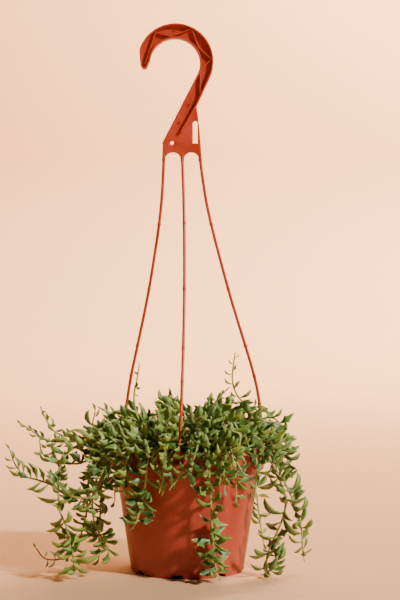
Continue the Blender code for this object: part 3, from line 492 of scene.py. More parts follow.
def strip(path, width):
    """The outline of a flat bar of this width along a path."""
    left, right = [], []
    for place, point in enumerate(path):
        before = Vector(path[max(place - 1, 0)])
        after = Vector(path[min(place + 1, len(path) - 1)])
        side = (after - before).normalized().orthogonal() * width / 2
        left.append(tuple(Vector(point) + side))
        right.append(tuple(Vector(point) - side))
    return left + right[::-1]


def strand_route(index):
    """From the plate down to a lug: the sideways travel follows one sway for all three strands."""
    top = Vector((STRAND_TOPS[index], 0.0, 0.0))
    foot = at_azimuth(LUG_AZIMUTHS[index], STRAND_CIRCLE, 0.0)
    points = [Vector((top.x, 0.0, PLATE_BOTTOM + 5))]
    for drop, travel in STRAND_SWAY:
        height = PLATE_BOTTOM + (STRAND_FOOT - PLATE_BOTTOM) * drop
        bow = STRAND_BOWS[index] * 4 * drop * (1 - drop)
        points.append(top.lerp(foot, travel) + Vector((bow, 0.0, height)))
    points.append(foot + Vector((0.0, 0.0, LUG_BOTTOM - GAP - KNOB_HEIGHT / 2)))
    return points


def flat_moulding(name, outlines, half_depth, edge):
    """An outline in the XZ plane with rounded edges, as deep as twice its half depth."""
    curve = bpy.data.curves.new(name, "CURVE")
    curve.dimensions = "2D"
    curve.fill_mode = "BOTH"
    curve.extrude = half_depth - edge
    curve.bevel_depth = edge
    curve.bevel_resolution = 1
    curve.offset = -edge
    for outline in outlines:
        line = curve.splines.new("POLY")
        line.points.add(len(outline) - 1)
        line.use_cyclic_u = True
        for spot, point in zip(line.points, outline):
            spot.co = (point[0], point[1], 0.0, 1.0)
    return meshed(name, curve, Matrix.Rotation(math.radians(90), 4, "X"))


def meshed(name, curve, turn=Matrix.Identity(4)):
    """A curve's closed mesh as a workshop object."""
    item = bpy.data.objects.new(name, curve)
    bpy.context.scene.collection.objects.link(item)
    bpy.context.view_layer.update()
    graph = bpy.context.evaluated_depsgraph_get()
    mesh = bpy.data.meshes.new_from_object(item.evaluated_get(graph), depsgraph=graph)
    bpy.data.objects.remove(item, do_unlink=True)
    shape = bmesh.new()
    shape.from_mesh(mesh)
    bmesh.ops.transform(shape, matrix=turn, verts=shape.verts)
    bmesh.ops.remove_doubles(shape, verts=shape.verts, dist=0.0005)
    bmesh.ops.recalc_face_normals(shape, faces=shape.faces)
    return workshop_object(name, shape)


def round_bar(name, points, radii, resolution):
    """A round bar along a route, with its own radius at each point."""
    curve = bpy.data.curves.new(name, "CURVE")
    curve.dimensions = "3D"
    curve.bevel_depth = 1.0
    curve.bevel_resolution = resolution
    curve.use_fill_caps = True
    line = curve.splines.new("POLY")
    line.points.add(len(points) - 1)
    for spot, point, radius in zip(line.points, points, radii):
        spot.co = (*point, 1.0)
        spot.radius = radius
    return meshed(name, curve)


hook_inner = [SHANK_LEFT[0], *arc(HOOK_INNER_CENTRE, [HOOK_INNER_RADIUS] * 2, *HOOK_INNER_TURN, 48)]
hook_outer = [*arc(HOOK_OUTER_CENTRE, [HOOK_OUTER_RADIUS] * 2, *HOOK_OUTER_TURN, 56), *SHANK_RIGHT[1:]]
hook_tip = [tuple(point) for point in smooth_route([Vector(point) for point in HOOK_TIP], 4)]
hook_edge = hook_inner + hook_tip + hook_outer
hanger = flat_moulding("web", [hook_edge], WEB_HALF_DEPTH, 0.1)
joined = [flat_moulding("rim", [strip(hook_edge, FLANGE_WIDTH)], FLANGE_HALF_DEPTH, 0.3)]
for start, end in zip(TRUSS, TRUSS[1:]):
    joined.append(flat_moulding("rib", [strip((start, end), TRUSS_WIDTH)], TRUSS_HALF_DEPTH, 0.25))
plate = list(PLATE_LEFT) + list(PLATE_RIGHT)
for right, left in ARCHES:
    plate += arc(((right + left) / 2, PLATE_BOTTOM), ((right - left) / 2, ARCH_HEIGHT), 0, 180, 24)
half_width, half_height = SLOT_SIZE[0] / 2, SLOT_SIZE[1] / 2
slot_low, slot_high = SLOT_CENTRE[1] - half_height, SLOT_CENTRE[1] + half_height
slot_edge = [(SLOT_CENTRE[0] - half_width, slot_low), (SLOT_CENTRE[0] + half_width, slot_low)]
slot_edge += arc((SLOT_CENTRE[0], slot_high - half_width), [half_width] * 2, 0, 180, 16)
plate_hole = arc(PLATE_HOLE, [PLATE_HOLE_RADIUS] * 2, 0, 345, 23)
joined.append(flat_moulding("plate", [plate, slot_edge, plate_hole], PLATE_HALF_DEPTH, 0.2))
for index, azimuth in enumerate(LUG_AZIMUTHS):
    line = smooth_route(strand_route(index)[:-1], 5) + [strand_route(index)[-1]]
    joined.append(round_bar("strand", line, [STRAND_RADIUS] * len(line), 4))
    top = LUG_BOTTOM - GAP
    spot = at_azimuth(azimuth, STRAND_CIRCLE, 0)
    joined.append(upright_peg("knob", KNOB_LOW_RADIUS, top - KNOB_HEIGHT, top, spot, 24, KNOB_RADIUS))
    for height in NUB_HEIGHTS:
        middle = min(line, key=lambda point: abs(point.z - height))
        place = line.index(middle)
        along = (line[min(place + 1, len(line) - 1)] - line[max(place - 1, 0)]).normalized()
        joined.append(round_bar("nub", [middle + along * step for step in NUB_STEPS], NUB_RADII, 3))
combine(hanger, "UNION", joined)
marks = []
for x, z in PIN_MARKS:
    ring = bmesh.new()
    bmesh.ops.create_cone(
        ring, cap_ends=True, segments=24, radius1=PIN_MARK_RADIUS, radius2=PIN_MARK_RADIUS,
        depth=PIN_MARK_DEPTH)
    lying = Matrix.Rotation(math.radians(90), 3, "X")
    bmesh.ops.rotate(ring, cent=(0, 0, 0), matrix=lying, verts=ring.verts)
    on_plate = z < SHANK_RIGHT[0][1]
    front = PLATE_HALF_DEPTH if on_plate else WEB_HALF_DEPTH
    bmesh.ops.translate(ring, vec=(x, -front, z), verts=ring.verts)
    marks.append(workshop_object("pin_mark", ring))
combine(hanger, "DIFFERENCE", marks)

bright = Finish("hanger_plastic")
clouds = bright.cloudy(30.0, 3.0)
grain = bright.cloudy(1800.0, 2.0)
tint = bright.mix(bright.ramp(clouds, 0.3, 0.7), (0.40, 0.036, 0.013), (0.46, 0.050, 0.018))
bright.surface(tint, 0.34 + clouds * 0.12, grain + clouds * 3.0, 0.00006, 0.25)
finished(hanger, "hanger_finished", bright.material, 35)
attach(hanger, "root")
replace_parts(hanger, "hanger")


# The soil: dark peaty potting mix, loosely filled to a finger below the rim, with crumbs of bark and a
# few pale grains on top. The stems stand in it.
SOIL_TOP = ((76.8, 114.0), (60.0, 117.5), (30.0, 120.5), (0.0, 121.5))
SOIL_LUMP = 1.1
SOIL_SIDE_GAP = 0.6
SOIL_FLOOR_GAP = 0.4
SOIL_RINGS = 40
SOIL_STEPS = 120
CRUMB_COUNT = 420
CRUMB_REACH = 74.0
GRAIN_COUNT = 46


def soil_height(radius):
    """Height of the soil's surface at a distance from the axis."""
    for (outer, low), (inner, high) in zip(SOIL_TOP, SOIL_TOP[1:]):
        if radius >= inner:
            share = min((outer - radius) / (outer - inner), 1.0)
            return low + (high - low) * share
    return SOIL_TOP[-1][1]


def lump(point):
    """The height of the soil's unevenness at a place."""
    coarse = noise.noise(Vector((point.x, point.y, 0.0)) * 0.11)
    fine = noise.noise(Vector((point.x, point.y, 40.0)) * 0.42)
    return SOIL_LUMP * (coarse + 0.6 * fine - 0.5)


soil_profile = [(SOIL_TOP[0][0] * step / SOIL_RINGS, 0.0) for step in range(SOIL_RINGS + 1)]
soil_profile += [
    (COLLAR_INNER - SOIL_SIDE_GAP, COLLAR_BOTTOM + 3.2), (WALL_TOP_INNER - 0.4, COLLAR_BOTTOM + 1.8),
    (FLOOR_RADIUS - SOIL_SIDE_GAP, FLOOR_TOP + SOIL_FLOOR_GAP), (0.0, FLOOR_TOP + SOIL_FLOOR_GAP)]
heap = turned_shape(soil_profile, SOIL_STEPS)
for point in heap.verts:
    if point.co.z < 0.001:
        away = math.hypot(point.co.x, point.co.y)
        point.co.z = soil_height(away) + lump(point.co)
bmesh.ops.recalc_face_normals(heap, faces=heap.faces)
draw = random.Random("crumbs")
for index in range(CRUMB_COUNT + GRAIN_COUNT):
    pale = index >= CRUMB_COUNT
    away = CRUMB_REACH * math.sqrt(draw.random())
    turn = draw.uniform(0, math.tau)
    spot = Vector((away * math.cos(turn), away * math.sin(turn), 0.0))
    spot.z = soil_height(away) + lump(spot) + 0.3
    size = draw.uniform(0.8, 1.5) if pale else draw.uniform(0.7, 2.2)
    squash = Matrix.Diagonal((size * draw.uniform(0.6, 1.5), size, size * draw.uniform(0.5, 0.9), 1.0))
    spin = Matrix.Rotation(draw.uniform(0, math.tau), 4, "Z")
    tilt = Matrix.Rotation(draw.uniform(-0.6, 0.6), 4, "X")
    made = bmesh.ops.create_icosphere(
        heap, subdivisions=1, radius=0.6, matrix=Matrix.Translation(spot) @ (spin @ tilt) @ squash)
    for point in made["verts"]:
        point.co += noise.noise_vector(point.co * 0.9) * 0.25
        for face in point.link_faces:
            face.material_index = 1 if pale else 0
bmesh.ops.scale(heap, vec=(MM, MM, MM), verts=heap.verts)

peat = Finish("potting_mix")
clumps = peat.cloudy(420.0, 5.0)
damp = peat.cloudy(60.0, 2.0)
tint = peat.mix(peat.ramp(clumps, 0.35, 0.68), (0.012, 0.007, 0.004), (0.075, 0.045, 0.026))
tint = peat.mix(peat.ramp(damp, 0.45, 0.7) * 0.5, tint, (0.02, 0.012, 0.008))
peat.surface(tint, 0.82 + clumps * 0.15, clumps, 0.0008, 0.8)
perlite = Finish("pale_grains")
speck = perlite.cloudy(900.0, 2.0)
perlite.surface(perlite.mix(speck, (0.42, 0.37, 0.30), (0.62, 0.58, 0.50)), 0.85 + speck * 0.1, speck, 0.0002)
soil = new_piece("soil_finished", heap, peat.material)
soil.data.materials.append(perlite.material)
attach(soil, "root")
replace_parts(soil, "soil")


# The leafy stems: each is a thin fleshy stem with dolphin-shaped leaves, waxy and green. They root
# in the soil, rise into a low crown and trail over the rim. The front ones follow the photograph's
# courses, and the others follow a rule with a fixed draw, so that each lies where its solid is.
ROOT_DEPTH = 8.0
FIRST_ADDED_LEAF = ROOT_DEPTH + 3
STEM_RADIUS = 1.3
TIP_RADIUS = 0.7
SEGMENT_LENGTH = 15.0
LEAF_LENGTH = 18.0
LEAF_HALF_WIDTH = 3.0
LEAF_THICKNESS = 2.5
LEAF_TOP_SHARE = 0.35
FIN_WIDTH = 1.9
LEAF_CLEARANCE = 0.45
SOLID_CLEARANCE = 0.25
ROOT_SHARE = 0.08
FIRST_LEAF = (7, 10)
RUN_PART = (0.12, 0.78)
LAST_LEAF_AT = 0.97
STEM_GUARD = 1.12
LEAF_TRIES = 26
GUARD_RINGS = (0.0, 0.45, 1.0, 1.45, 2.0)
TRAIL_RINGS = (0.0, 1.0, 1.45, 2.0)
PLAIN_RINGS = (0.0, 1.0, 2.0)
SMALL_LEAF = 17.5

# Each trail: where it roots, its course, the length of its leaves and the distance between them
TRAILS = {
    "trail_left_1": ((-50, 18), (
        (-62, 18, 131), (-78, 16, 135), (-104, 9, 134), (-124, 2, 136), (-138, 0, 142),
        (-144, 0, 151), (-148, -2, 159), (-151, -2, 167)), 12.5, 9),
    "trail_left_2": ((-47, 4), (
        (-60, 4, 129), (-78, 4, 132), (-103, -4, 131), (-124, -11, 133), (-134, -12, 131),
        (-145, -12, 134), (-153, -12, 139), (-160, -12, 144), (-169, -12, 150)), 12.5, 9),
    "trail_left_3": ((-60, -7), (
        (-68, -8, 130), (-80, -9, 132), (-89, -13, 124), (-94, -20, 112), (-100, -26, 92),
        (-101, -28, 74), (-102, -30, 58), (-106, -30, 44), (-112, -30, 30), (-119, -30, 21),
        (-130, -30, 15), (-143, -30, 16), (-151, -30, 19), (-152, -30, 26)), 14, 10.5),
    "trail_left_4": ((-44, -16), (
        (-56, -18, 130), (-72, -20, 132), (-84, -24, 127), (-104, -30, 113), (-122, -31, 112),
        (-133, -30, 112), (-142, -30, 117), (-148, -30, 126), (-149, -30, 138)), 17.5, 10.5),
    "trail_left_5": ((-54, -27), (
        (-60, -29, 130), (-70, -32, 134), (-85, -35, 138), (-103, -37, 134), (-117, -42, 126),
        (-124, -46, 118), (-127, -50, 108), (-128, -53, 94), (-127, -56, 79), (-125, -58, 64),
        (-120, -59, 55), (-118, -60, 42), (-114, -61, 32), (-112, -62, 21), (-111, -63, 9)), 20.5, 8.5),
    "trail_left_6": ((-50, -40), (
        (-56, -42, 129), (-66, -45, 132), (-76, -47, 126), (-84, -48, 113), (-90, -46, 98),
        (-94, -46, 82), (-94, -47, 63), (-91, -48, 51), (-86, -48, 42), (-81, -48, 32),
        (-77, -48, 24)), 18, 9.5),
    "trail_left_7": ((-38, -44), (
        (-47, -50, 129), (-59, -55, 133), (-72, -59, 127), (-81, -62, 114), (-86, -64, 97),
        (-91, -66, 85), (-99, -68, 81), (-108, -69, 83), (-119, -69, 86), (-129, -67, 91),
        (-138, -64, 98), (-149, -60, 99), (-160, -56, 102), (-168, -53, 110), (-173, -51, 117),
        (-176, -49, 127)), 18, 9.5),
    "trail_front_1": ((-40, -54), (
        (-45, -59, 130), (-52, -64, 132), (-58, -70, 122), (-61, -71, 107), (-62, -69, 92),
        (-60, -69, 82)), 18.5, 8.5),
    "trail_front_2": ((-28, -57), (
        (-32, -63, 129), (-36, -71, 132), (-39, -77, 124), (-39, -78, 108), (-41, -77, 95),
        (-44, -76, 81), (-46, -75, 69), (-50, -75, 58)), 18.5, 8.5),
    "trail_front_3": ((-17, -55), (
        (-19, -62, 130), (-21, -74, 133), (-22, -83, 125), (-22, -85, 110), (-24, -84, 98),
        (-27, -83, 89)), 18.5, 8.5),
    "trail_front_4": ((2, -60), (
        (2, -66, 129), (3, -77, 132), (4, -86, 126), (2, -90, 116), (-4, -91, 108),
        (-12, -91, 101), (-17, -90, 93)), 18.5, 8.5),
    "trail_front_5": ((14, -57), (
        (15, -63, 129), (17, -76, 133), (19, -85, 126), (22, -87, 111), (22, -86, 98),
        (23, -85, 86), (24, -83, 74), (24, -81, 62), (25, -80, 50), (26, -79, 38),
        (27, -78, 24), (29, -78, 11)), 20, 8),
    "trail_front_6": ((28, -55), (
        (29, -61, 130), (32, -74, 132), (34, -81, 124), (36, -83, 108), (37, -82, 95)), 18.5, 8.5),
    "trail_front_7": ((36, -40), (
        (40, -45, 146), (43, -53, 156), (45, -62, 148), (46, -72, 132), (47, -77, 116),
        (48, -77, 104), (48, -76, 92), (48, -75, 82)), 19, 8.5),
    "trail_right_1": ((51, -40), (
        (56, -45, 130), (63, -52, 133), (68, -57, 122), (69, -59, 105), (68, -58, 91),
        (66, -57, 78)), 19, 8.5),
    "trail_right_2": ((49, -24), (
        (57, -27, 135), (66, -32, 139), (77, -38, 129), (86, -42, 111), (93, -44, 96),
        (98, -45, 82), (98, -45, 69), (93, -45, 52), (86, -45, 37), (81, -45, 26),
        (79, -45, 14), (81, -46, 5), (86, -46, 6), (89, -46, 18), (87, -46, 29)), 20, 8.5),
    "trail_right_3": ((55, -8), (
        (64, -9, 136), (78, -12, 136), (88, -14, 120), (96, -15, 98), (103, -17, 83),
        (108, -18, 73), (112, -19, 61), (115, -20, 49), (117, -20, 35), (117, -20, 22),
        (119, -20, 10)), 20.5, 8.5),
    "front_shoot_1": ((-8, -45), (
        (-9, -51, 143), (-11, -61, 152), (-14, -73, 149), (-18, -83, 139), (-20, -90, 126)), 20, 7.5),
    "front_shoot_2": ((9, -43), (
        (10, -50, 145), (12, -60, 154), (13, -71, 151), (12, -82, 142), (9, -91, 130)), 20, 7.5),
    "tip_shoot_1": ((-38, 8), (
        (-44, 7, 138), (-53, 5, 161), (-56, 5, 172), (-54, 5, 184), (-52, 5, 196),
        (-50, 5, 208)), 9, 9),
    "tip_shoot_2": ((51, 9), (
        (62, 7, 138), (74, 0, 153), (74, -8, 162), (62, -10, 168), (53, -10, 176), (48, -10, 186),
        (46, -10, 195), (47, -10, 209), (49, -10, 223)), 11, 10),
    "tip_shoot_3": ((20, -10), (
        (22, -12, 146), (24, -13, 163), (29, -14, 172), (37, -15, 183), (43, -16, 188)), 9, 14),
    "side_shoot_1": ((-46, 30), (
        (-56, 22, 138), (-70, 16, 151), (-82, 13, 159), (-93, 11, 166)), 15, 13),
    "side_shoot_2": ((-60, 32), (
        (-70, 26, 136), (-86, 20, 138), (-97, 14, 143), (-98, 12, 152), (-96, 12, 160)), 17.5, 11),
    "side_shoot_3": ((58, 22), (
        (66, 17, 138), (76, 10, 152), (86, 5, 156), (94, 2, 150), (99, 1, 141), (101, 0, 131)), 18, 10),
}

# Leaves that the photograph shows singly: root, tip, the way they curl, how far, and where the fins are
SHOWN_LEAVES = {
    "trail_left_4": (
        ((-127, 114), (-135, 127), (1, 0.6), 1.1, 0), ((-84, 123), (-88, 135), (-1, 0), 0.5, 0.6)),
    "trail_left_5": (
        ((-127, 79), (-149, 78), (0, 1), 0.35, 0.3), ((-122, 58), (-138, 46), (-1, 1), 0.5, 0.5),
        ((-119, 57), (-102, 48), (1, -0.3), 0.5, 0.55), ((-112, 21), (-84, 23), (0, 1), 0.4, 0.4),
        ((-116, 33), (-125, 19), (-1, 0), 0.6, 0.6), ((-112, 16), (-98, 7), (1, 0), 0.6, 0.6)),
    "trail_left_6": (
        ((-81, 31), (-68, 22), (1, 0), 0.35, 0.8), ((-92, 62), (-82, 51), (1, -1), 0.5, 0.6),
        ((-94, 77), (-83, 69), (1, 0), 0.6, 0.6)),
    "trail_front_2": (
        ((-44, 82), (-31, 69), (1, 0), 0.5, 0.6), ((-44, 78), (-57, 70), (0, 1), 0.5, 0.6),
        ((-39, 103), (-23, 92), (1, 0), 0.5, 0.6)),
    "trail_front_5": (
        ((25, 52), (44, 43), (0, 1), 0.5, 0.6), ((25, 42), (40, 31), (1, 0), 0.5, 0.6),
        ((25, 36), (12, 25), (-1, 0), 0.5, 0.6), ((26, 27), (41, 15), (1, 0), 0.5, 0.6)),
    "trail_front_7": (
        ((47, 101), (60, 90), (1, 0), 0.5, 0.6), ((46, 112), (59, 118), (0, 1), 0.6, 0.6)),
    "trail_right_2": (
        ((91, 100), (70, 90), (-0.3, 1), 1.3, 0), ((97, 64), (77, 80), (-0.2, 1), 1.7, 0),
        ((96, 60), (112, 42), (1, 0.4), 0.9, 0), ((92, 57), (78, 51), (0, 1), 0.4, 0.6),
        ((80, 24), (62, 19), (0, 1), 0.3, 0.55)),
    "trail_right_3": (
        ((106, 84), (112, 102), (-1, 0.3), 1.4, 0), ((113, 64), (118, 78), (-1, 0.4), 2.1, 0),
        ((117, 27), (109, 19), (-1, 0), 0.4, 0.6), ((117, 19), (127, 24), (0, 1), 0.4, 0.6)),
    "tip_shoot_2": (
        ((54, 177), (67, 184), (0, 1), 0.3, 0.5), ((57, 172), (45, 172), (0, 1), 0.3, 0.55)),
    "side_shoot_1": (((-93, 167), (-96, 155), (-1, 0), 0.5, 0),),
    "side_shoot_2": (((-99, 147), (-102, 163), (1, 0), 1.6, 0),),
    "side_shoot_3": (
        ((92, 135), (110, 134), (0, 1), 0.3, 0.85), ((84, 157), (70, 165), (-0.4, -1), 1.3, 0)),
}

BACK_DROPS = (18, 74, 46, 92, 24, 62, 12)
BACK_FROM = 122.0
BACK_SPREAD = 150.0
BACK_STEP = 19
# Rings of crown shoots: their number, distance from the axis, rise, reach, and least and most droop
CROWN_RINGS = (
    (16, 62.0, 22.0, 22.0, 0.8, 1.7), (8, 38.0, 42.0, 24.0, 0.1, 0.6), (1, 10.0, 50.0, 16.0, 0.0, 0.3),
)
RULE_LEAF = 19.5
RULE_PITCH = 9.0
ROUTE_TRIES = 600
STEM_ROOM = 4.2
LUG_ROOM = 7.0
TABLE_HALF = 400


def walk(points, distance):
    """The place and direction at a distance along a line of points."""
    for first, second in zip(points, points[1:]):
        span = (second - first).length
        if distance <= span:
            return first.lerp(second, distance / span), (second - first) / span
        distance -= span
    return points[-1], (points[-1] - points[-2]).normalized()


def line_length(points):
    """The length of a line of points."""
    return sum((second - first).length for first, second in zip(points, points[1:]))


def closest(first, second, spot):
    """The point of a straight run that is nearest to a spot."""
    span = second - first
    share = min(max((spot - first).dot(span) / span.length_squared, 0.0), 1.0)
    return first + span * share


def tip_share(distance, length):
    """Leaves get smaller towards the tip: the share of their size at a distance up a stem."""
    return min(1.0, 0.5 + 2.2 * (length - distance) / length)


def stem_line(root, route):
    """The whole line of a stem: straight up out of its hole, then along its route."""
    top = soil_height(math.hypot(*root))
    foot = Vector((root[0], root[1], top - ROOT_DEPTH))
    line = smooth_route([Vector((root[0], root[1], top + 2)), *[Vector(point) for point in route]])
    count = max(4, round(line_length(line) / SEGMENT_LENGTH))
    length = line_length(line)
    return [foot] + [walk(line, length * step / count)[0] for step in range(count + 1)]


def stem_radii(line):
    """The stem thins towards its tip."""
    last = len(line) - 1
    return [STEM_RADIUS + (TIP_RADIUS - STEM_RADIUS) * (place / last) ** 1.5 for place in range(last + 1)]


def leaf_points(form, numbers, extra):
    """Rings of a dolphin-shaped leaf: a narrow stalk that widens to two fins, then a pointed nose.

    The leaf starts at the origin, runs along +Z and curls towards +Y. Ring numbers up to 1 lie
    before the fins and up to 2 after them. Each ring has two side points and one on the keel. The
    root is a small copy of the fins' ring, so that the sides leave the stem as flat faces.
    """
    length, fins, fin_at, bend = form
    scale = length / LEAF_LENGTH
    rings = []
    for ring in numbers:
        along = fin_at * ring if ring <= 1 else fin_at + (1 - fin_at) * (ring - 1)
        angle = bend * along
        spine = Vector((0.0, length * (1 - math.cos(angle)) / bend, length * math.sin(angle) / bend))
        if ring == 2.0:
            rings.append([spine + Vector((0.0, math.sin(angle), math.cos(angle))) * extra])
            continue
        if ring == 0.0:
            spine = spine - Vector((0.0, 0.0, extra))
            angle = bend * fin_at
        belly = max(ring, ROOT_SHARE / min(scale, 1.0) ** 0.5) if ring <= 1 else 2 - ring
        half = (LEAF_HALF_WIDTH + FIN_WIDTH * fins * (ring <= 1)) * belly * scale
        thick = LEAF_THICKNESS * belly * scale
        up = Vector((0.0, math.cos(angle), -math.sin(angle)))
        side = Vector((half + extra, 0.0, 0.0))
        top = up * (LEAF_TOP_SHARE * thick + extra)
        rings.append([spine - side + top, spine + side + top, spine - up * (thick + extra)])
    return rings


def leaf_solid(rings):
    """Points and faces of a leaf from its rings of three points and its tip."""
    points = [point for ring in rings for point in ring]
    faces = [(0, 1, 2)]
    for start in range(0, len(points) - 4, 3):
        for side in range(3):
            after = (side + 1) % 3
            faces.append((start + side, start + 3 + side, start + 3 + after, start + after))
    tip = len(points) - 1
    for side in range(3):
        faces.append((tip - 3 + side, tip, tip - 3 + (side + 1) % 3))
    return points, faces


def leaf_place(root, direction, towards):
    """The frame of a leaf: its length along a direction, curling towards another."""
    along = direction.normalized()
    curl = towards - along * towards.dot(along)
    if curl.length < 0.05:
        curl = along.orthogonal()
    curl.normalize()
    turn = Matrix((curl.cross(along), curl, along)).transposed().to_4x4()
    return Matrix.Translation(root) @ turn


def ball_round(points):
    """The middle of a set of points, and how far they reach from it."""
    centre = sum(points, Vector()) / len(points)
    return centre, max((point - centre).length for point in points)


class Garden:
    """Everything that already stands, by owner, for keeping new stems and leaves clear of it."""

    def __init__(self):
        self.items = []

    def add(self, owner, points, faces):
        """Stand one more closed shape in the garden."""
        self.items.append((owner, *ball_round(points), BVHTree.FromPolygons(points, faces)))

    def touches(self, points, faces, ignored=()):
        """True where a shape meets anything that stands, apart from the owners to ignore."""
        centre, radius = ball_round(points)
        tree = None
        for owner, middle, size, other in self.items:
            if owner in ignored or (middle - centre).length > size + radius:
                continue
            tree = tree or BVHTree.FromPolygons(points, faces)
            if tree.overlap(other):
                return True
        return False


def tube_solid(line, radii, sides=6):
    """Points and faces of a stout tube round a line, for keeping clear of it."""
    points, faces = [], []
    for place, point in enumerate(line):
        before, after = line[max(place - 1, 0)], line[min(place + 1, len(line) - 1)]
        along = (after - before).normalized()
        across = along.orthogonal().normalized() if place == 0 else across - along * across.dot(along)
        across.normalize()
        up = along.cross(across)
        for side in range(sides):
            angle = math.tau * side / sides
            spoke = across * math.cos(angle) + up * math.sin(angle)
            points.append(point + spoke * radii[place])
    for start in range(0, len(points) - sides, sides):
        for side in range(sides):
            after = (side + 1) % sides
            faces.append((start + side, start + after, start + sides + after, start + sides + side))
    faces.append(tuple(range(sides)))
    faces.append(tuple(range(len(points) - sides, len(points))))
    return points, faces


def turned_solid(profile, steps=40):
    """Points and faces of a turned surface, for keeping clear of it."""
    points, faces = [], []
    count = len(profile)
    for step in range(steps):
        angle = math.tau * step / steps
        points += [Vector((r * math.cos(angle), r * math.sin(angle), z)) for r, z in profile]
    for step in range(steps):
        here, there = step * count, (step + 1) % steps * count
        for place in range(count - 1):
            faces.append((here + place, here + place + 1, there + place + 1, there + place))
    return points, faces


def stand_holder(garden):
    """Put the pot, the hanger's strands, the soil's surface and the floor in the garden."""
    pot = (
        (COLLAR_INNER, RIM_HEIGHT - 20), (COLLAR_INNER, RIM_HEIGHT), (RIM_RADIUS, RIM_HEIGHT),
        (RIM_RADIUS, COLLAR_BOTTOM), (WALL_TOP_RADIUS, COLLAR_BOTTOM), (FOOT_RADIUS, 0.0))
    garden.add("pot", *turned_solid(pot))
    garden.add("soil", *turned_solid(SOIL_TOP))
    corners = ((-1, -1), (1, -1), (1, 1), (-1, 1))
    floor = [Vector((TABLE_HALF * x, TABLE_HALF * y, GAP)) for x, y in corners]
    garden.add("floor", floor, [(0, 1, 2, 3)])
    for index, azimuth in enumerate(LUG_AZIMUTHS):
        line = strand_route(index)
        garden.add("hanger", *tube_solid(line, [STRAND_RADIUS + GAP] * len(line)))
        centre = at_azimuth(azimuth, STRAND_CIRCLE, 0)
        lug = [centre + Vector((0, 0, height)) for height in (LUG_TOP, LUG_BOTTOM - KNOB_HEIGHT - 1)]
        garden.add("hanger", *tube_solid(lug, [LUG_ROOM] * 2))


def rule_route(azimuth, root_radius, points):
    """A route from heights and distances: each point has a sideways swing, a radius and a height."""
    route = []
    for swing, radius, height in points:
        route.append(tuple(at_azimuth(azimuth + swing, radius, height)))
    root = at_azimuth(azimuth, root_radius, 0)
    return (root.x, root.y), route


def back_route(index, draw):
    """A trail over the back of the rim, of its own length."""
    azimuth = BACK_FROM + BACK_SPREAD * (index + draw.uniform(0.2, 0.8)) / len(BACK_DROPS)
    swing = draw.uniform(-14, 14)
    drop = BACK_DROPS[index] + draw.uniform(-4, 4)
    reach = draw.uniform(90, 104)
    shoulder, shoulder_height = 88, 124
    points = [
        (0, 66, 130), (swing * 0.1, 78, draw.uniform(133, 137)), (swing * 0.3, shoulder, shoulder_height)]
    height = 104.0
    while height > drop:
        share = (shoulder_height - height) / 112
        radius = shoulder + (reach - shoulder) * share + draw.uniform(-1, 1)
        points.append((swing * (0.3 + 0.7 * share), radius, height))
        height -= BACK_STEP
    points.append((swing, reach, drop))
    return rule_route(azimuth, draw.uniform(54, 62), points)


def crown_route(ring, index, draw):
    """A short shoot of the crown, which rises and arches outwards."""
    count, radius, rise, reach, least_droop, most_droop = CROWN_RINGS[ring]
    azimuth = 360 * (index + 0.5 * (ring % 2) + draw.uniform(-0.42, 0.42)) / count
    root_radius = max(4.0, radius + draw.uniform(-7, 6))
    soil = soil_height(root_radius)
    rise = rise * draw.uniform(0.72, 1.12)
    reach = reach * draw.uniform(0.75, 1.3)
    swing = draw.uniform(-26, 26)
    droop = draw.uniform(least_droop, most_droop) * rise
    start = root_radius + 1
    top = max(soil + rise, RIM_HEIGHT + 6)
    points = [
        (swing * 0.1, start + reach * 0.16, soil + (top - soil) * 0.55),
        (swing * 0.35, start + reach * 0.5, top - 2), (swing * 0.7, start + reach * 0.95, top + 1),
        (swing, start + reach * 1.4, top - droop * 0.5), (swing * 1.15, start + reach * 1.7, top - droop)]
    return rule_route(azimuth, root_radius, points)


def near(line, others, room):
    """True where a line comes closer to another line than the room given."""
    spots = [first.lerp(second, step / 5) for first, second in zip(line, line[1:]) for step in range(5)]
    for other in others:
        runs = list(zip(other, other[1:]))
        for spot in spots:
            if any((closest(first, second, spot) - spot).length < room for first, second in runs):
                return True
    return False


def lay_out_stems(garden):
    """All the stems: name, line, leaf length and distance between leaves."""
    stems = []
    for name, (root, route, leaf, pitch) in TRAILS.items():
        stems.append((name, stem_line(root, route), leaf, pitch))
    lines = [line for _, line, _, _ in stems]
    plan = [(f"trail_back_{index + 1:02d}", back_route, (index,)) for index in range(len(BACK_DROPS))]
    number = 0
    for ring, numbers in enumerate(CROWN_RINGS):
        for index in range(numbers[0]):
            number += 1
            plan.append((f"crown_shoot_{number:02d}", crown_route, (ring, index)))
    for name, rule, numbers in plan:
        draw = random.Random(name)
        for _ in range(ROUTE_TRIES):
            root, route = rule(*numbers, draw)
            line = stem_line(root, route)
            stout = tube_solid(line[2:], [STEM_RADIUS + 0.5] * (len(line) - 2))
            if not near(line, lines, STEM_ROOM) and not garden.touches(*stout):
                lines.append(line)
                stems.append((name, line, RULE_LEAF, RULE_PITCH))
                break
    return stems


def stem_sides(rod_mesh, segment):
    """The outward directions of the four flat sides of one segment of a stem."""
    corners = [rod_mesh.vertices[segment * 4 + place].co for place in range(8)]
    centre = sum(corners, Vector()) / 8
    sides = []
    for side in range(4):
        after = (side + 1) % 4
        middle = (corners[side] + corners[after] + corners[side + 4] + corners[after + 4]) / 4
        sides.append((middle - centre).normalized())
    return sides


def leaf_rings(leaf_length, name):
    """Trails show their leaves from near by, so their larger leaves have a ring more."""
    plain = name.startswith(("crown", "front_shoot", "trail_back")) or leaf_length < SMALL_LEAF
    return PLAIN_RINGS if plain else TRAIL_RINGS


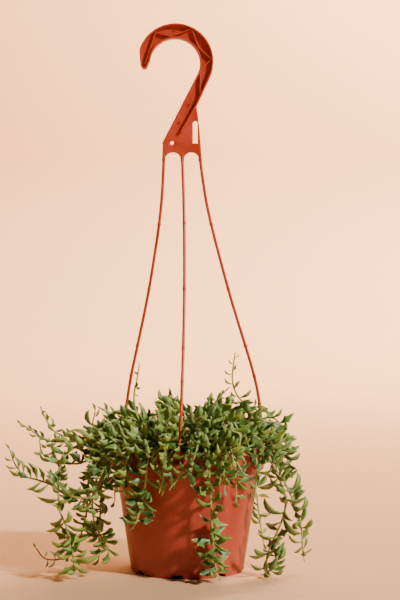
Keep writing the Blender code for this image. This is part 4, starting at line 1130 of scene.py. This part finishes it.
def draw_leaf(draw, sides, root, along, local, attempt, last):
    """A leaf that leaves the stem through one of its flat sides, its face up or away from the pot."""
    side = sides[attempt % 4]
    across = along.cross(side)
    spread = math.radians(draw.uniform(-8, 8))
    outward = side * math.cos(spread) + across * math.sin(spread)
    lean = math.radians(draw.uniform(8, 25) if last else draw.uniform(48, 80))
    direction = along * math.cos(lean) + outward * math.sin(lean)
    away = Vector((root.x, root.y, 0.0)).normalized()
    towards = Vector((0, 0, 1)) + along * draw.uniform(0, 0.7) + away * draw.uniform(-0.3, 1.8)
    fins = 1.0 if draw.random() > 0.25 else 0.0
    bend = draw.uniform(0.4, 0.95) if fins else draw.uniform(0.9, 1.6)
    shrink = 1 - 0.3 * attempt / LEAF_TRIES
    form = (local * shrink * draw.uniform(0.88, 1.08), fins, draw.uniform(0.5, 0.68), bend)
    return form, direction, towards


def set_leaf(form, frame, numbers, room=0.0):
    """A leaf's rings where it stands on its stem, with some room round it."""
    return [[frame @ point for point in ring] for ring in leaf_points(form, numbers, room)]


def clears(rings, name, garden):
    """True where a leaf's rings touch nothing but its own stem, and that only at the root."""
    if garden.touches(*leaf_solid(rings), ignored=(name + " stem",)):
        return False
    return len(rings) <= 3 or not garden.touches(*leaf_solid(rings[1:]))


def has_room(form, frame, name, garden):
    """True where both the solids' leaf and its fuller guard stand clear."""
    guard = set_leaf(form, frame, GUARD_RINGS, LEAF_CLEARANCE)
    if not clears(guard, name, garden):
        return False
    return clears(set_leaf(form, frame, leaf_rings(form[0], name), SOLID_CLEARANCE), name, garden)


def shown_leaf(line, entry):
    """The form and frame of a leaf given by its two ends as the front view shows them."""
    (x, z), (tip_x, tip_z), (curl_x, curl_z), bend, fin_at = entry
    spots = [first.lerp(second, step / 8) for first, second in zip(line, line[1:]) for step in range(8)]
    root = min(spots, key=lambda spot: math.hypot(spot.x - x, spot.z - z))
    chord = Vector((tip_x - root.x, 0.0, tip_z - root.z))
    curl = Vector((curl_x, 0.0, curl_z))
    curl = (curl - chord * (curl.dot(chord) / chord.length_squared)).normalized()
    start = chord.normalized() * math.cos(bend / 2) - curl * math.sin(bend / 2)
    length = chord.length * (bend / 2) / math.sin(bend / 2)
    form = (length, 1.0 if fin_at else 0.0, fin_at or 0.5, bend)
    return form, leaf_place(root, start, curl)


def grow_leaves(stems, rods, garden):
    """Leaves up each stem, each one turned or shortened until it clears its neighbours."""
    leaves = {name: [] for name, _, _, _ in stems}

    def keep_leaf(name, form, frame):
        for numbers in (GUARD_RINGS, leaf_rings(form[0], name)):
            garden.add(name, *leaf_solid(set_leaf(form, frame, numbers)))
        leaves[name].append((form, frame))

    for name, line, _, _ in stems:
        garden.add(name + " stem", *tube_solid(line, [radius * STEM_GUARD for radius in stem_radii(line)]))
    for name, line, _, _ in stems:
        for entry in SHOWN_LEAVES.get(name, ()):
            form, frame = shown_leaf(line, entry)
            if has_room(form, frame, name, garden):
                keep_leaf(name, form, frame)
    for name, line, size, pitch in stems:
        draw = random.Random(name + " leaves")
        steps = [(second - first).length for first, second in zip(line, line[1:])]
        length = sum(steps)
        distance = ROOT_DEPTH + draw.uniform(*FIRST_LEAF)
        turn = draw.randrange(4)
        while distance < length:
            last = distance + pitch * 0.5 > length
            segment, before = 0, 0.0
            while segment < len(steps) - 1 and before + steps[segment] < distance:
                before += steps[segment]
                segment += 1
            share = min(max((distance - before) / steps[segment], RUN_PART[0]), RUN_PART[1])
            root = line[segment].lerp(line[segment + 1], LAST_LEAF_AT if last else share)
            along = (line[segment + 1] - line[segment]).normalized()
            sides = stem_sides(rods[name].data, segment)
            turn += draw.choice((1, 1, 2))
            sides = [sides[(turn + place) % 4] for place in (0, 2, 1, 3)]
            local = size * tip_share(distance, length)
            for attempt in range(LEAF_TRIES):
                form, direction, towards = draw_leaf(draw, sides, root, along, local, attempt, last)
                frame = leaf_place(root, direction, towards)
                if has_room(form, frame, name, garden):
                    keep_leaf(name, form, frame)
                    break
            distance += pitch * (0.55 + 0.45 * local / size) * draw.uniform(0.85, 1.15)
            if last:
                break
    return leaves


garden = Garden()
stand_holder(garden)
stems = lay_out_stems(garden)
rods = {name: round_bar(name, line, stem_radii(line), 0) for name, line, _, _ in stems}
leaves = grow_leaves(stems, rods, garden)
for item in rods.values():
    bpy.data.objects.remove(item, do_unlink=True)


# Each leaf has a narrow stalk that widens into two side fins, then a pointed nose, with a keel below
# and a flatter top. It is shaped from one ringed cone, and the stem from a tube with a joint at each leaf.
LEAF_SIDES = 8
FIN_STATION = 0.62
LEAF_STATIONS = (0.2, 0.42, 0.54, FIN_STATION, 0.67, 0.74, 0.87)
# Half the width and the depth of the keel, for a leaf with fins and for a plain one
FINNED_LEAF = (2.3, 2.5)
PLAIN_LEAF = (2.6, 3.1)
LEAF_BULGE = 1.6
WEB_WIDTH = 2.6
SIDE_LIFT = 0.8
STEM_STEP = 3.5
JOINT_REACH = 3.5
LOWEST_LEAF = 0.2


def blank_leaf(shape):
    """The cone that every leaf is shaped from: rings at the stations and a point at the end."""
    made = bmesh.ops.create_cone(
        shape, cap_ends=True, segments=LEAF_SIDES, radius1=1.0, radius2=0.0, depth=1.0,
        matrix=Matrix.Translation((0.0, 0.0, 0.5)))
    blank = list({edge for point in made["verts"] for edge in point.link_edges})
    faces = list({face for point in made["verts"] for face in point.link_faces})
    geometry = made["verts"] + blank + faces
    for station in LEAF_STATIONS:
        cut = bmesh.ops.bisect_plane(
            shape, geom=geometry, dist=0.00001, plane_co=(0, 0, station), plane_no=(0, 0, 1))
        geometry = list({*[item for item in geometry if item.is_valid], *cut["geom"]})
    return geometry


def leaf_spot(form, flat, along, angle):
    """Where a point of the blank goes: along the leaf, and round its section."""
    length, fins, fin_at, bend = form
    scale = length / LEAF_LENGTH
    part = min(along / FIN_STATION, 1.0)
    nose = max(along - FIN_STATION, 0.0) / (1 - FIN_STATION)
    turn = bend * (part * fin_at if nose == 0.0 else fin_at + nose * (1 - fin_at))
    spine = Vector((0.0, length * (1 - math.cos(turn)) / bend, length * math.sin(turn) / bend))
    up = Vector((0.0, math.cos(turn), -math.sin(turn)))
    belly = (0.2 + 0.8 * part ** 1.1) * (1 - nose ** 2.0) ** 0.85
    web = WEB_WIDTH * fins * part ** 4.0 * max(0.0, 1 - nose / 0.34) ** 1.4
    spine += Vector((0.0, 0.34 * fins * (1 - fin_at) * length * nose ** 2, 0.0))
    across = math.cos(angle)
    rise = math.sin(angle)
    flange = abs(across) ** 7 * math.copysign(1.0, across)
    half_width, keel = FINNED_LEAF if fins else PLAIN_LEAF
    half = half_width * belly * across + web * flange
    thick = (keel if rise < 0 else LEAF_BULGE) * rise * belly * flat
    side_lift = SIDE_LIFT * belly * flat * abs(flange)
    return spine + (Vector((half, 0.0, 0.0)) + up * (thick + side_lift)) * scale


def dressed_leaf(shape, geometry, layers, form, frame, tone, flat):
    """A leaf on the stem: a copy of the blank, shaped and set in place."""
    copy = bmesh.ops.duplicate(shape, geom=geometry)
    for old in geometry:
        if not isinstance(old, bmesh.types.BMVert):
            continue
        new = copy["vert_map"][old]
        along = old.co.z
        angle = math.atan2(old.co.y, old.co.x)
        new.co = frame @ leaf_spot(form, flat, along, angle)
        new.co.z = max(new.co.z, LOWEST_LEAF)
        new[layers["tone"]] = tone
        new[layers["along"]] = along
        new[layers["edge"]] = abs(math.cos(angle)) ** 6 * min(1.0, max(0.0, (along - 0.3) * 3))


def dressed_stem(shape, layers, line, joints, brown, tone):
    """A tube along the stem's line, a little thicker at each leaf. Returns the line that it follows."""
    fine = smooth_route(line[1:], 6)
    length = line_length(fine)
    count = max(6, round(length / STEM_STEP))
    points = [line[0]] + [walk(fine, length * step / count)[0] for step in range(count + 1)]
    radii = stem_radii(points)
    last = len(points) - 1
    made = bmesh.ops.create_cone(
        shape, cap_ends=True, segments=8, radius1=1.0, radius2=1.0, depth=last,
        matrix=Matrix.Translation((0.0, 0.0, last / 2)))
    upright = {
        edge for point in made["verts"] for edge in point.link_edges
        if abs(edge.verts[0].co.z - edge.verts[1].co.z) > 0.5}
    bmesh.ops.subdivide_edges(shape, edges=list(upright), cuts=last - 1, use_grid_fill=True)
    frames = []
    across = Vector((1.0, 0.0, 0.0))
    for place, point in enumerate(points):
        along = (points[min(place + 1, last)] - points[max(place - 1, 0)]).normalized()
        across = (across - along * across.dot(along)).normalized()
        joint = min([(spot - point).length for spot in joints] + [JOINT_REACH])
        swelling = 0.95 + 0.2 * max(0.0, 1 - joint / JOINT_REACH)
        frames.append((point, across.copy(), along.cross(across), radii[place] * swelling))
    for vert in shape.verts:
        point, across, up, radius = frames[round(vert.co.z)]
        share = vert.co.z / last
        angle = math.atan2(vert.co.y, vert.co.x)
        vert.co = point + (across * math.cos(angle) + up * math.sin(angle)) * radius
        vert[layers["tone"]] = tone
        vert[layers["along"]] = -1.0 - share
        vert[layers["edge"]] = brown
    return points


def nearest(points, spot):
    """The point of a line nearest to a spot."""
    places = [closest(first, second, spot) for first, second in zip(points, points[1:])]
    return min(places, key=lambda place: (place - spot).length)


# More leaves than the solids hold grow on the same stems, and short sprays fill the crown between them
# and hang over the rim. They keep clear of what stands, and stay inside the box of the solids.
FILL_ROOM = 0.06
FILL_TRIES = 32
SPRAY_GROUPS = 6
SPRAY_LEAF = 18.0
SPRAY_PITCH = 4.6
SPRAY_TRIES = 90
SPRAY_RADIUS = 1.1
SPRAY_GUARD = 0.9
RIM_SPRAYS = 45
RIM_SPRAY_ROOTS = (60, 68)
RIM_SPRAY_ARCH = (4, 13)
RIM_SPRAY_REACH = (83, 90)
# Sectors of the rim that the sprays fill in turn: from and to azimuth, and the longest drop below the rim
RIM_SECTORS = (
    (-78, -30, 46), (-6, 24, 42), (60, 120, 24), (-30, -6, 14), (-78, -45, 34), (120, 180, 26),
    (24, 60, 10), (180, 240, 26), (240, 285, 24),
)
CROWN_SPRAYS = 50
CROWN_SPREAD = 68.0
GOLDEN_ANGLE = 137.5
SPRAY_ROOM = 2.4
# How close the added leaves stand, by the kind of stem: a share of the distance between its own leaves
FILL_SHARES = {
    "trail_left": 0.65, "trail_right": 0.9, "trail_front": 0.65, "trail_back": 0.8, "tip": 1.5, "side": 0.8,
    "crown": 0.45, "front": 0.5}
# Trails whose leaves stay large down to the tip
FULL_TIPS = ("trail_left_5", "trail_left_6", "trail_front_2", "trail_front_5", "trail_right_2")
TIP_PITCH = 2.4
TIP_CLUSTER = 34.0
BOX_ROOM = 0.5
low_corner, high_corner = [Vector(corner) / MM for corner in cad_box]


def inside_box(points):
    """True where all the points lie inside the box of the solids, with a little to spare."""
    return all(
        low_corner[axis] + BOX_ROOM < point[axis] < high_corner[axis] - BOX_ROOM
        for point in points for axis in range(3))


def add_leaves(name, line, size, pitch, start, draw):
    """Further leaves on a stem, wherever there is room for one."""
    more = []
    length = line_length(line)
    distance = start
    while distance < length - 1:
        root, along = walk(line, distance)
        thin = 0.0 if name in FULL_TIPS else 1 - tip_share(distance, length)
        local = size * (1 - thin)
        away = Vector((root.x, root.y, 0.0)).normalized()
        for attempt in range(FILL_TRIES):
            out = along.orthogonal().normalized()
            out.rotate(Matrix.Rotation(draw.uniform(0, math.tau), 3, along))
            lean = math.radians(draw.uniform(42, 100))
            direction = along * math.cos(lean) + out * math.sin(lean)
            towards = Vector((0, 0, 1)) + along * draw.uniform(0, 1.0) + away * draw.uniform(-0.2, 1.8)
            fins = 1.0 if draw.random() > 0.2 else 0.0
            bend = draw.uniform(0.6, 1.3) if fins else draw.uniform(1.0, 1.8)
            shrink = 1 - 0.016 * max(0, attempt - 12)
            form = (local * shrink * draw.uniform(0.85, 1.12), fins, draw.uniform(0.44, 0.66), bend)
            frame = leaf_place(root, direction, towards)
            rings = set_leaf(form, frame, GUARD_RINGS, FILL_ROOM)
            points, faces = leaf_solid(rings)
            if inside_box(points) and clears(rings, name, garden):
                garden.add(name, points, faces)
                more.append((form, frame))
                break
        distance += pitch * draw.uniform(0.7, 1.3) * (1 + 2 * thin)
    return more


def ended_at(line, spot):
    """The part of a line up to just past a spot on it."""
    for place, (first, second) in enumerate(zip(line, line[1:])):
        span = second - first
        share = (spot - first).dot(span) / span.length_squared
        if 0 <= share <= 1 and (first + span * share - spot).length < 0.1:
            return line[:place + 1] + [spot + span.normalized() * 0.8]
    return line


def crown_spray(index, draw):
    """A short spray in the crown, up and outwards."""
    radius = CROWN_SPREAD * math.sqrt((index + draw.random()) / CROWN_SPRAYS)
    azimuth = index * GOLDEN_ANGLE + draw.uniform(-30, 30)
    soil = soil_height(radius)
    rise = (42 - 0.35 * radius) * draw.uniform(0.5, 1.1)
    reach = (16 + 0.16 * radius) * draw.uniform(0.6, 1.3)
    swing = draw.uniform(-30, 30)
    top = max(soil + rise, RIM_HEIGHT + 3 if radius > 45 else soil + 8)
    droop = draw.uniform(0.1, 0.9) * (top - soil)
    points = [
        (swing * 0.1, radius + reach * 0.2, soil + (top - soil) * 0.55),
        (swing * 0.4, radius + reach * 0.6, top), (swing * 0.8, radius + reach, top + 1),
        (swing, radius + reach * 1.35, top - droop * 0.45)]
    return rule_route(azimuth, radius, points)


def rim_spray(index, draw):
    """A short spray over the rim: more of them, and longer ones, on the left and in front."""
    sector = RIM_SECTORS[index % len(RIM_SECTORS)]
    azimuth = draw.uniform(*sector[:2])
    radius = draw.uniform(*RIM_SPRAY_ROOTS)
    swing = draw.uniform(-16, 16)
    top = RIM_HEIGHT + draw.uniform(*RIM_SPRAY_ARCH)
    reach = draw.uniform(*RIM_SPRAY_REACH)
    drop = draw.uniform(6, sector[2])
    points = [
        (swing * 0.1, radius + 4, RIM_HEIGHT + 1), (swing * 0.3, 76, top),
        (swing * 0.6, reach - 2, top - 4), (swing * 0.9, reach, RIM_HEIGHT - drop * 0.4),
        (swing, reach - draw.uniform(0, 3), RIM_HEIGHT - drop)]
    return rule_route(azimuth, radius, points)


lines = [line for _, line, _, _ in stems]
sprays = []
plan = [(f"rim spray {index}", rim_spray, index) for index in range(RIM_SPRAYS)]
plan += [(f"crown spray {index}", crown_spray, index) for index in range(CROWN_SPRAYS)]
for name, rule, index in plan:
    draw = random.Random(name)
    for _ in range(SPRAY_TRIES):
        line = stem_line(*rule(index, draw))
        stout = tube_solid(line[2:], [SPRAY_RADIUS] * (len(line) - 2))
        if inside_box(line[1:]) and not near(line, lines, SPRAY_ROOM) and not garden.touches(*stout):
            lines.append(line)
            guard = [radius * SPRAY_GUARD for radius in stem_radii(line)]
            garden.add(name + " stem", *tube_solid(line, guard))
            found = add_leaves(name, line, SPRAY_LEAF, SPRAY_PITCH, FIRST_ADDED_LEAF, draw)
            if found:
                sprays.append((name, ended_at(line, found[-1][1].translation), found))
            break
for name, line, size, pitch in stems:
    draw = random.Random(name + " more leaves")
    close = next(share for start, share in FILL_SHARES.items() if name.startswith(start))
    leaves[name] += add_leaves(name, line, size, pitch * close, FIRST_ADDED_LEAF, draw)
    if name in FULL_TIPS:
        leaves[name] += add_leaves(name, line, size, TIP_PITCH, line_length(line) - TIP_CLUSTER, draw)


# The plant's pieces share one waxy green: pale at each leaf's root and edges, paler at the nose partly
# as its own paler tip and partly as a painted highlight, with a faint bloom, and browner on a few old
# stems. Every stem with its leaves replaces its solid, and the sprays ride along in groups.
waxy = Finish("leaf_green")
tone = waxy.node("ShaderNodeAttribute", {"attribute_name": "tone"}, output=2)
along = waxy.node("ShaderNodeAttribute", {"attribute_name": "along"}, output=2)
edge = waxy.node("ShaderNodeAttribute", {"attribute_name": "edge"}, output=2)
bloom = waxy.cloudy(160.0, 3.0)
mottle = waxy.cloudy(900.0, 2.0)
green = waxy.mix(waxy.ramp(tone, 0.05, 0.6), (0.034, 0.100, 0.020), (0.110, 0.215, 0.033))
green = waxy.mix(waxy.ramp(tone, 0.65, 1.0), green, (0.24, 0.32, 0.045))
green = waxy.mix(waxy.ramp(bloom, 0.4, 0.7) * 0.16, green, (0.17, 0.29, 0.12))
green = waxy.mix(waxy.ramp(mottle, 0.5, 0.8) * 0.25, green, (0.05, 0.11, 0.035))
green = waxy.mix(waxy.ramp(along * -1.0, -0.34, -0.1) * 0.55, green, (0.33, 0.45, 0.14))
green = waxy.mix(edge * 0.35, green, (0.42, 0.52, 0.15))
# Paler at each leaf's nose: partly the tip's own paler green, partly a painted highlight.
green = waxy.mix(waxy.ramp(along, 0.86, 1.0) * 0.4, green, (0.42, 0.50, 0.18))
stalk = waxy.mix(edge, (0.27, 0.37, 0.09), (0.20, 0.070, 0.028))
colour = waxy.mix(waxy.ramp(along * -1.0, 0.4, 0.6), green, stalk)
waxy.surface(colour, 0.36 + bloom * 0.2, bloom * 3.0 + mottle, 0.00012, 0.3)
waxy.shader.inputs["Subsurface Weight"].default_value = 0.12
waxy.shader.inputs["Subsurface Radius"].default_value = (0.002, 0.004, 0.001)
waxy.shader.inputs["Subsurface Scale"].default_value = 0.5

BROWN_STEMS = {"trail_left_3": 0.8, "trail_right_2": 0.5, "trail_left_7": 0.5, "trail_left_2": 0.5}
GREEN_STEM = (0.0, 0.16)
STEM_TONES = (0.15, 0.75)
LEAF_TONES = (-0.35, 0.4)
LEAF_FLATNESS = (0.85, 1.1)


def plant_piece(name, growths):
    """One object from stems and their leaves: each growth is a name, a line and its leaves."""
    shape = bmesh.new()
    for stem_name, line, found in growths:
        part = bmesh.new()
        layers = {label: part.verts.layers.float.new(label) for label in ("tone", "along", "edge")}
        draw = random.Random(stem_name + " looks")
        mood = draw.uniform(*STEM_TONES)
        brown = BROWN_STEMS.get(stem_name, draw.uniform(*GREEN_STEM))
        joints = [frame.translation for _, frame in found]
        points = dressed_stem(part, layers, line, joints, brown, mood)
        blank = blank_leaf(part)
        for form, frame in found:
            shift = nearest(points, frame.translation) - frame.translation
            moved = Matrix.Translation(shift) @ frame
            leaf_tone = min(1.0, max(0.0, mood + draw.uniform(*LEAF_TONES)))
            dressed_leaf(part, blank, layers, form, moved, leaf_tone, draw.uniform(*LEAF_FLATNESS))
        blank_points = [item for item in blank if isinstance(item, bmesh.types.BMVert)]
        bmesh.ops.delete(part, geom=blank_points, context="VERTS")
        bmesh.ops.scale(part, vec=(MM, MM, MM), verts=part.verts)
        bmesh.ops.recalc_face_normals(part, faces=part.faces)
        mesh = bpy.data.meshes.new("growth")
        part.to_mesh(mesh)
        part.free()
        shape.from_mesh(mesh)
        bpy.data.meshes.remove(mesh)
    item = new_piece(name, shape, waxy.material)
    item.data.set_sharp_from_angle(angle=math.radians(70))
    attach(item, "root")
    return item


for name, line, _, _ in stems:
    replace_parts(plant_piece(name + "_finished", [(name, line, leaves[name])]), name)
for group in range(SPRAY_GROUPS):
    plant_piece(f"crown_sprays_{group + 1}", sprays[group::SPRAY_GROUPS])
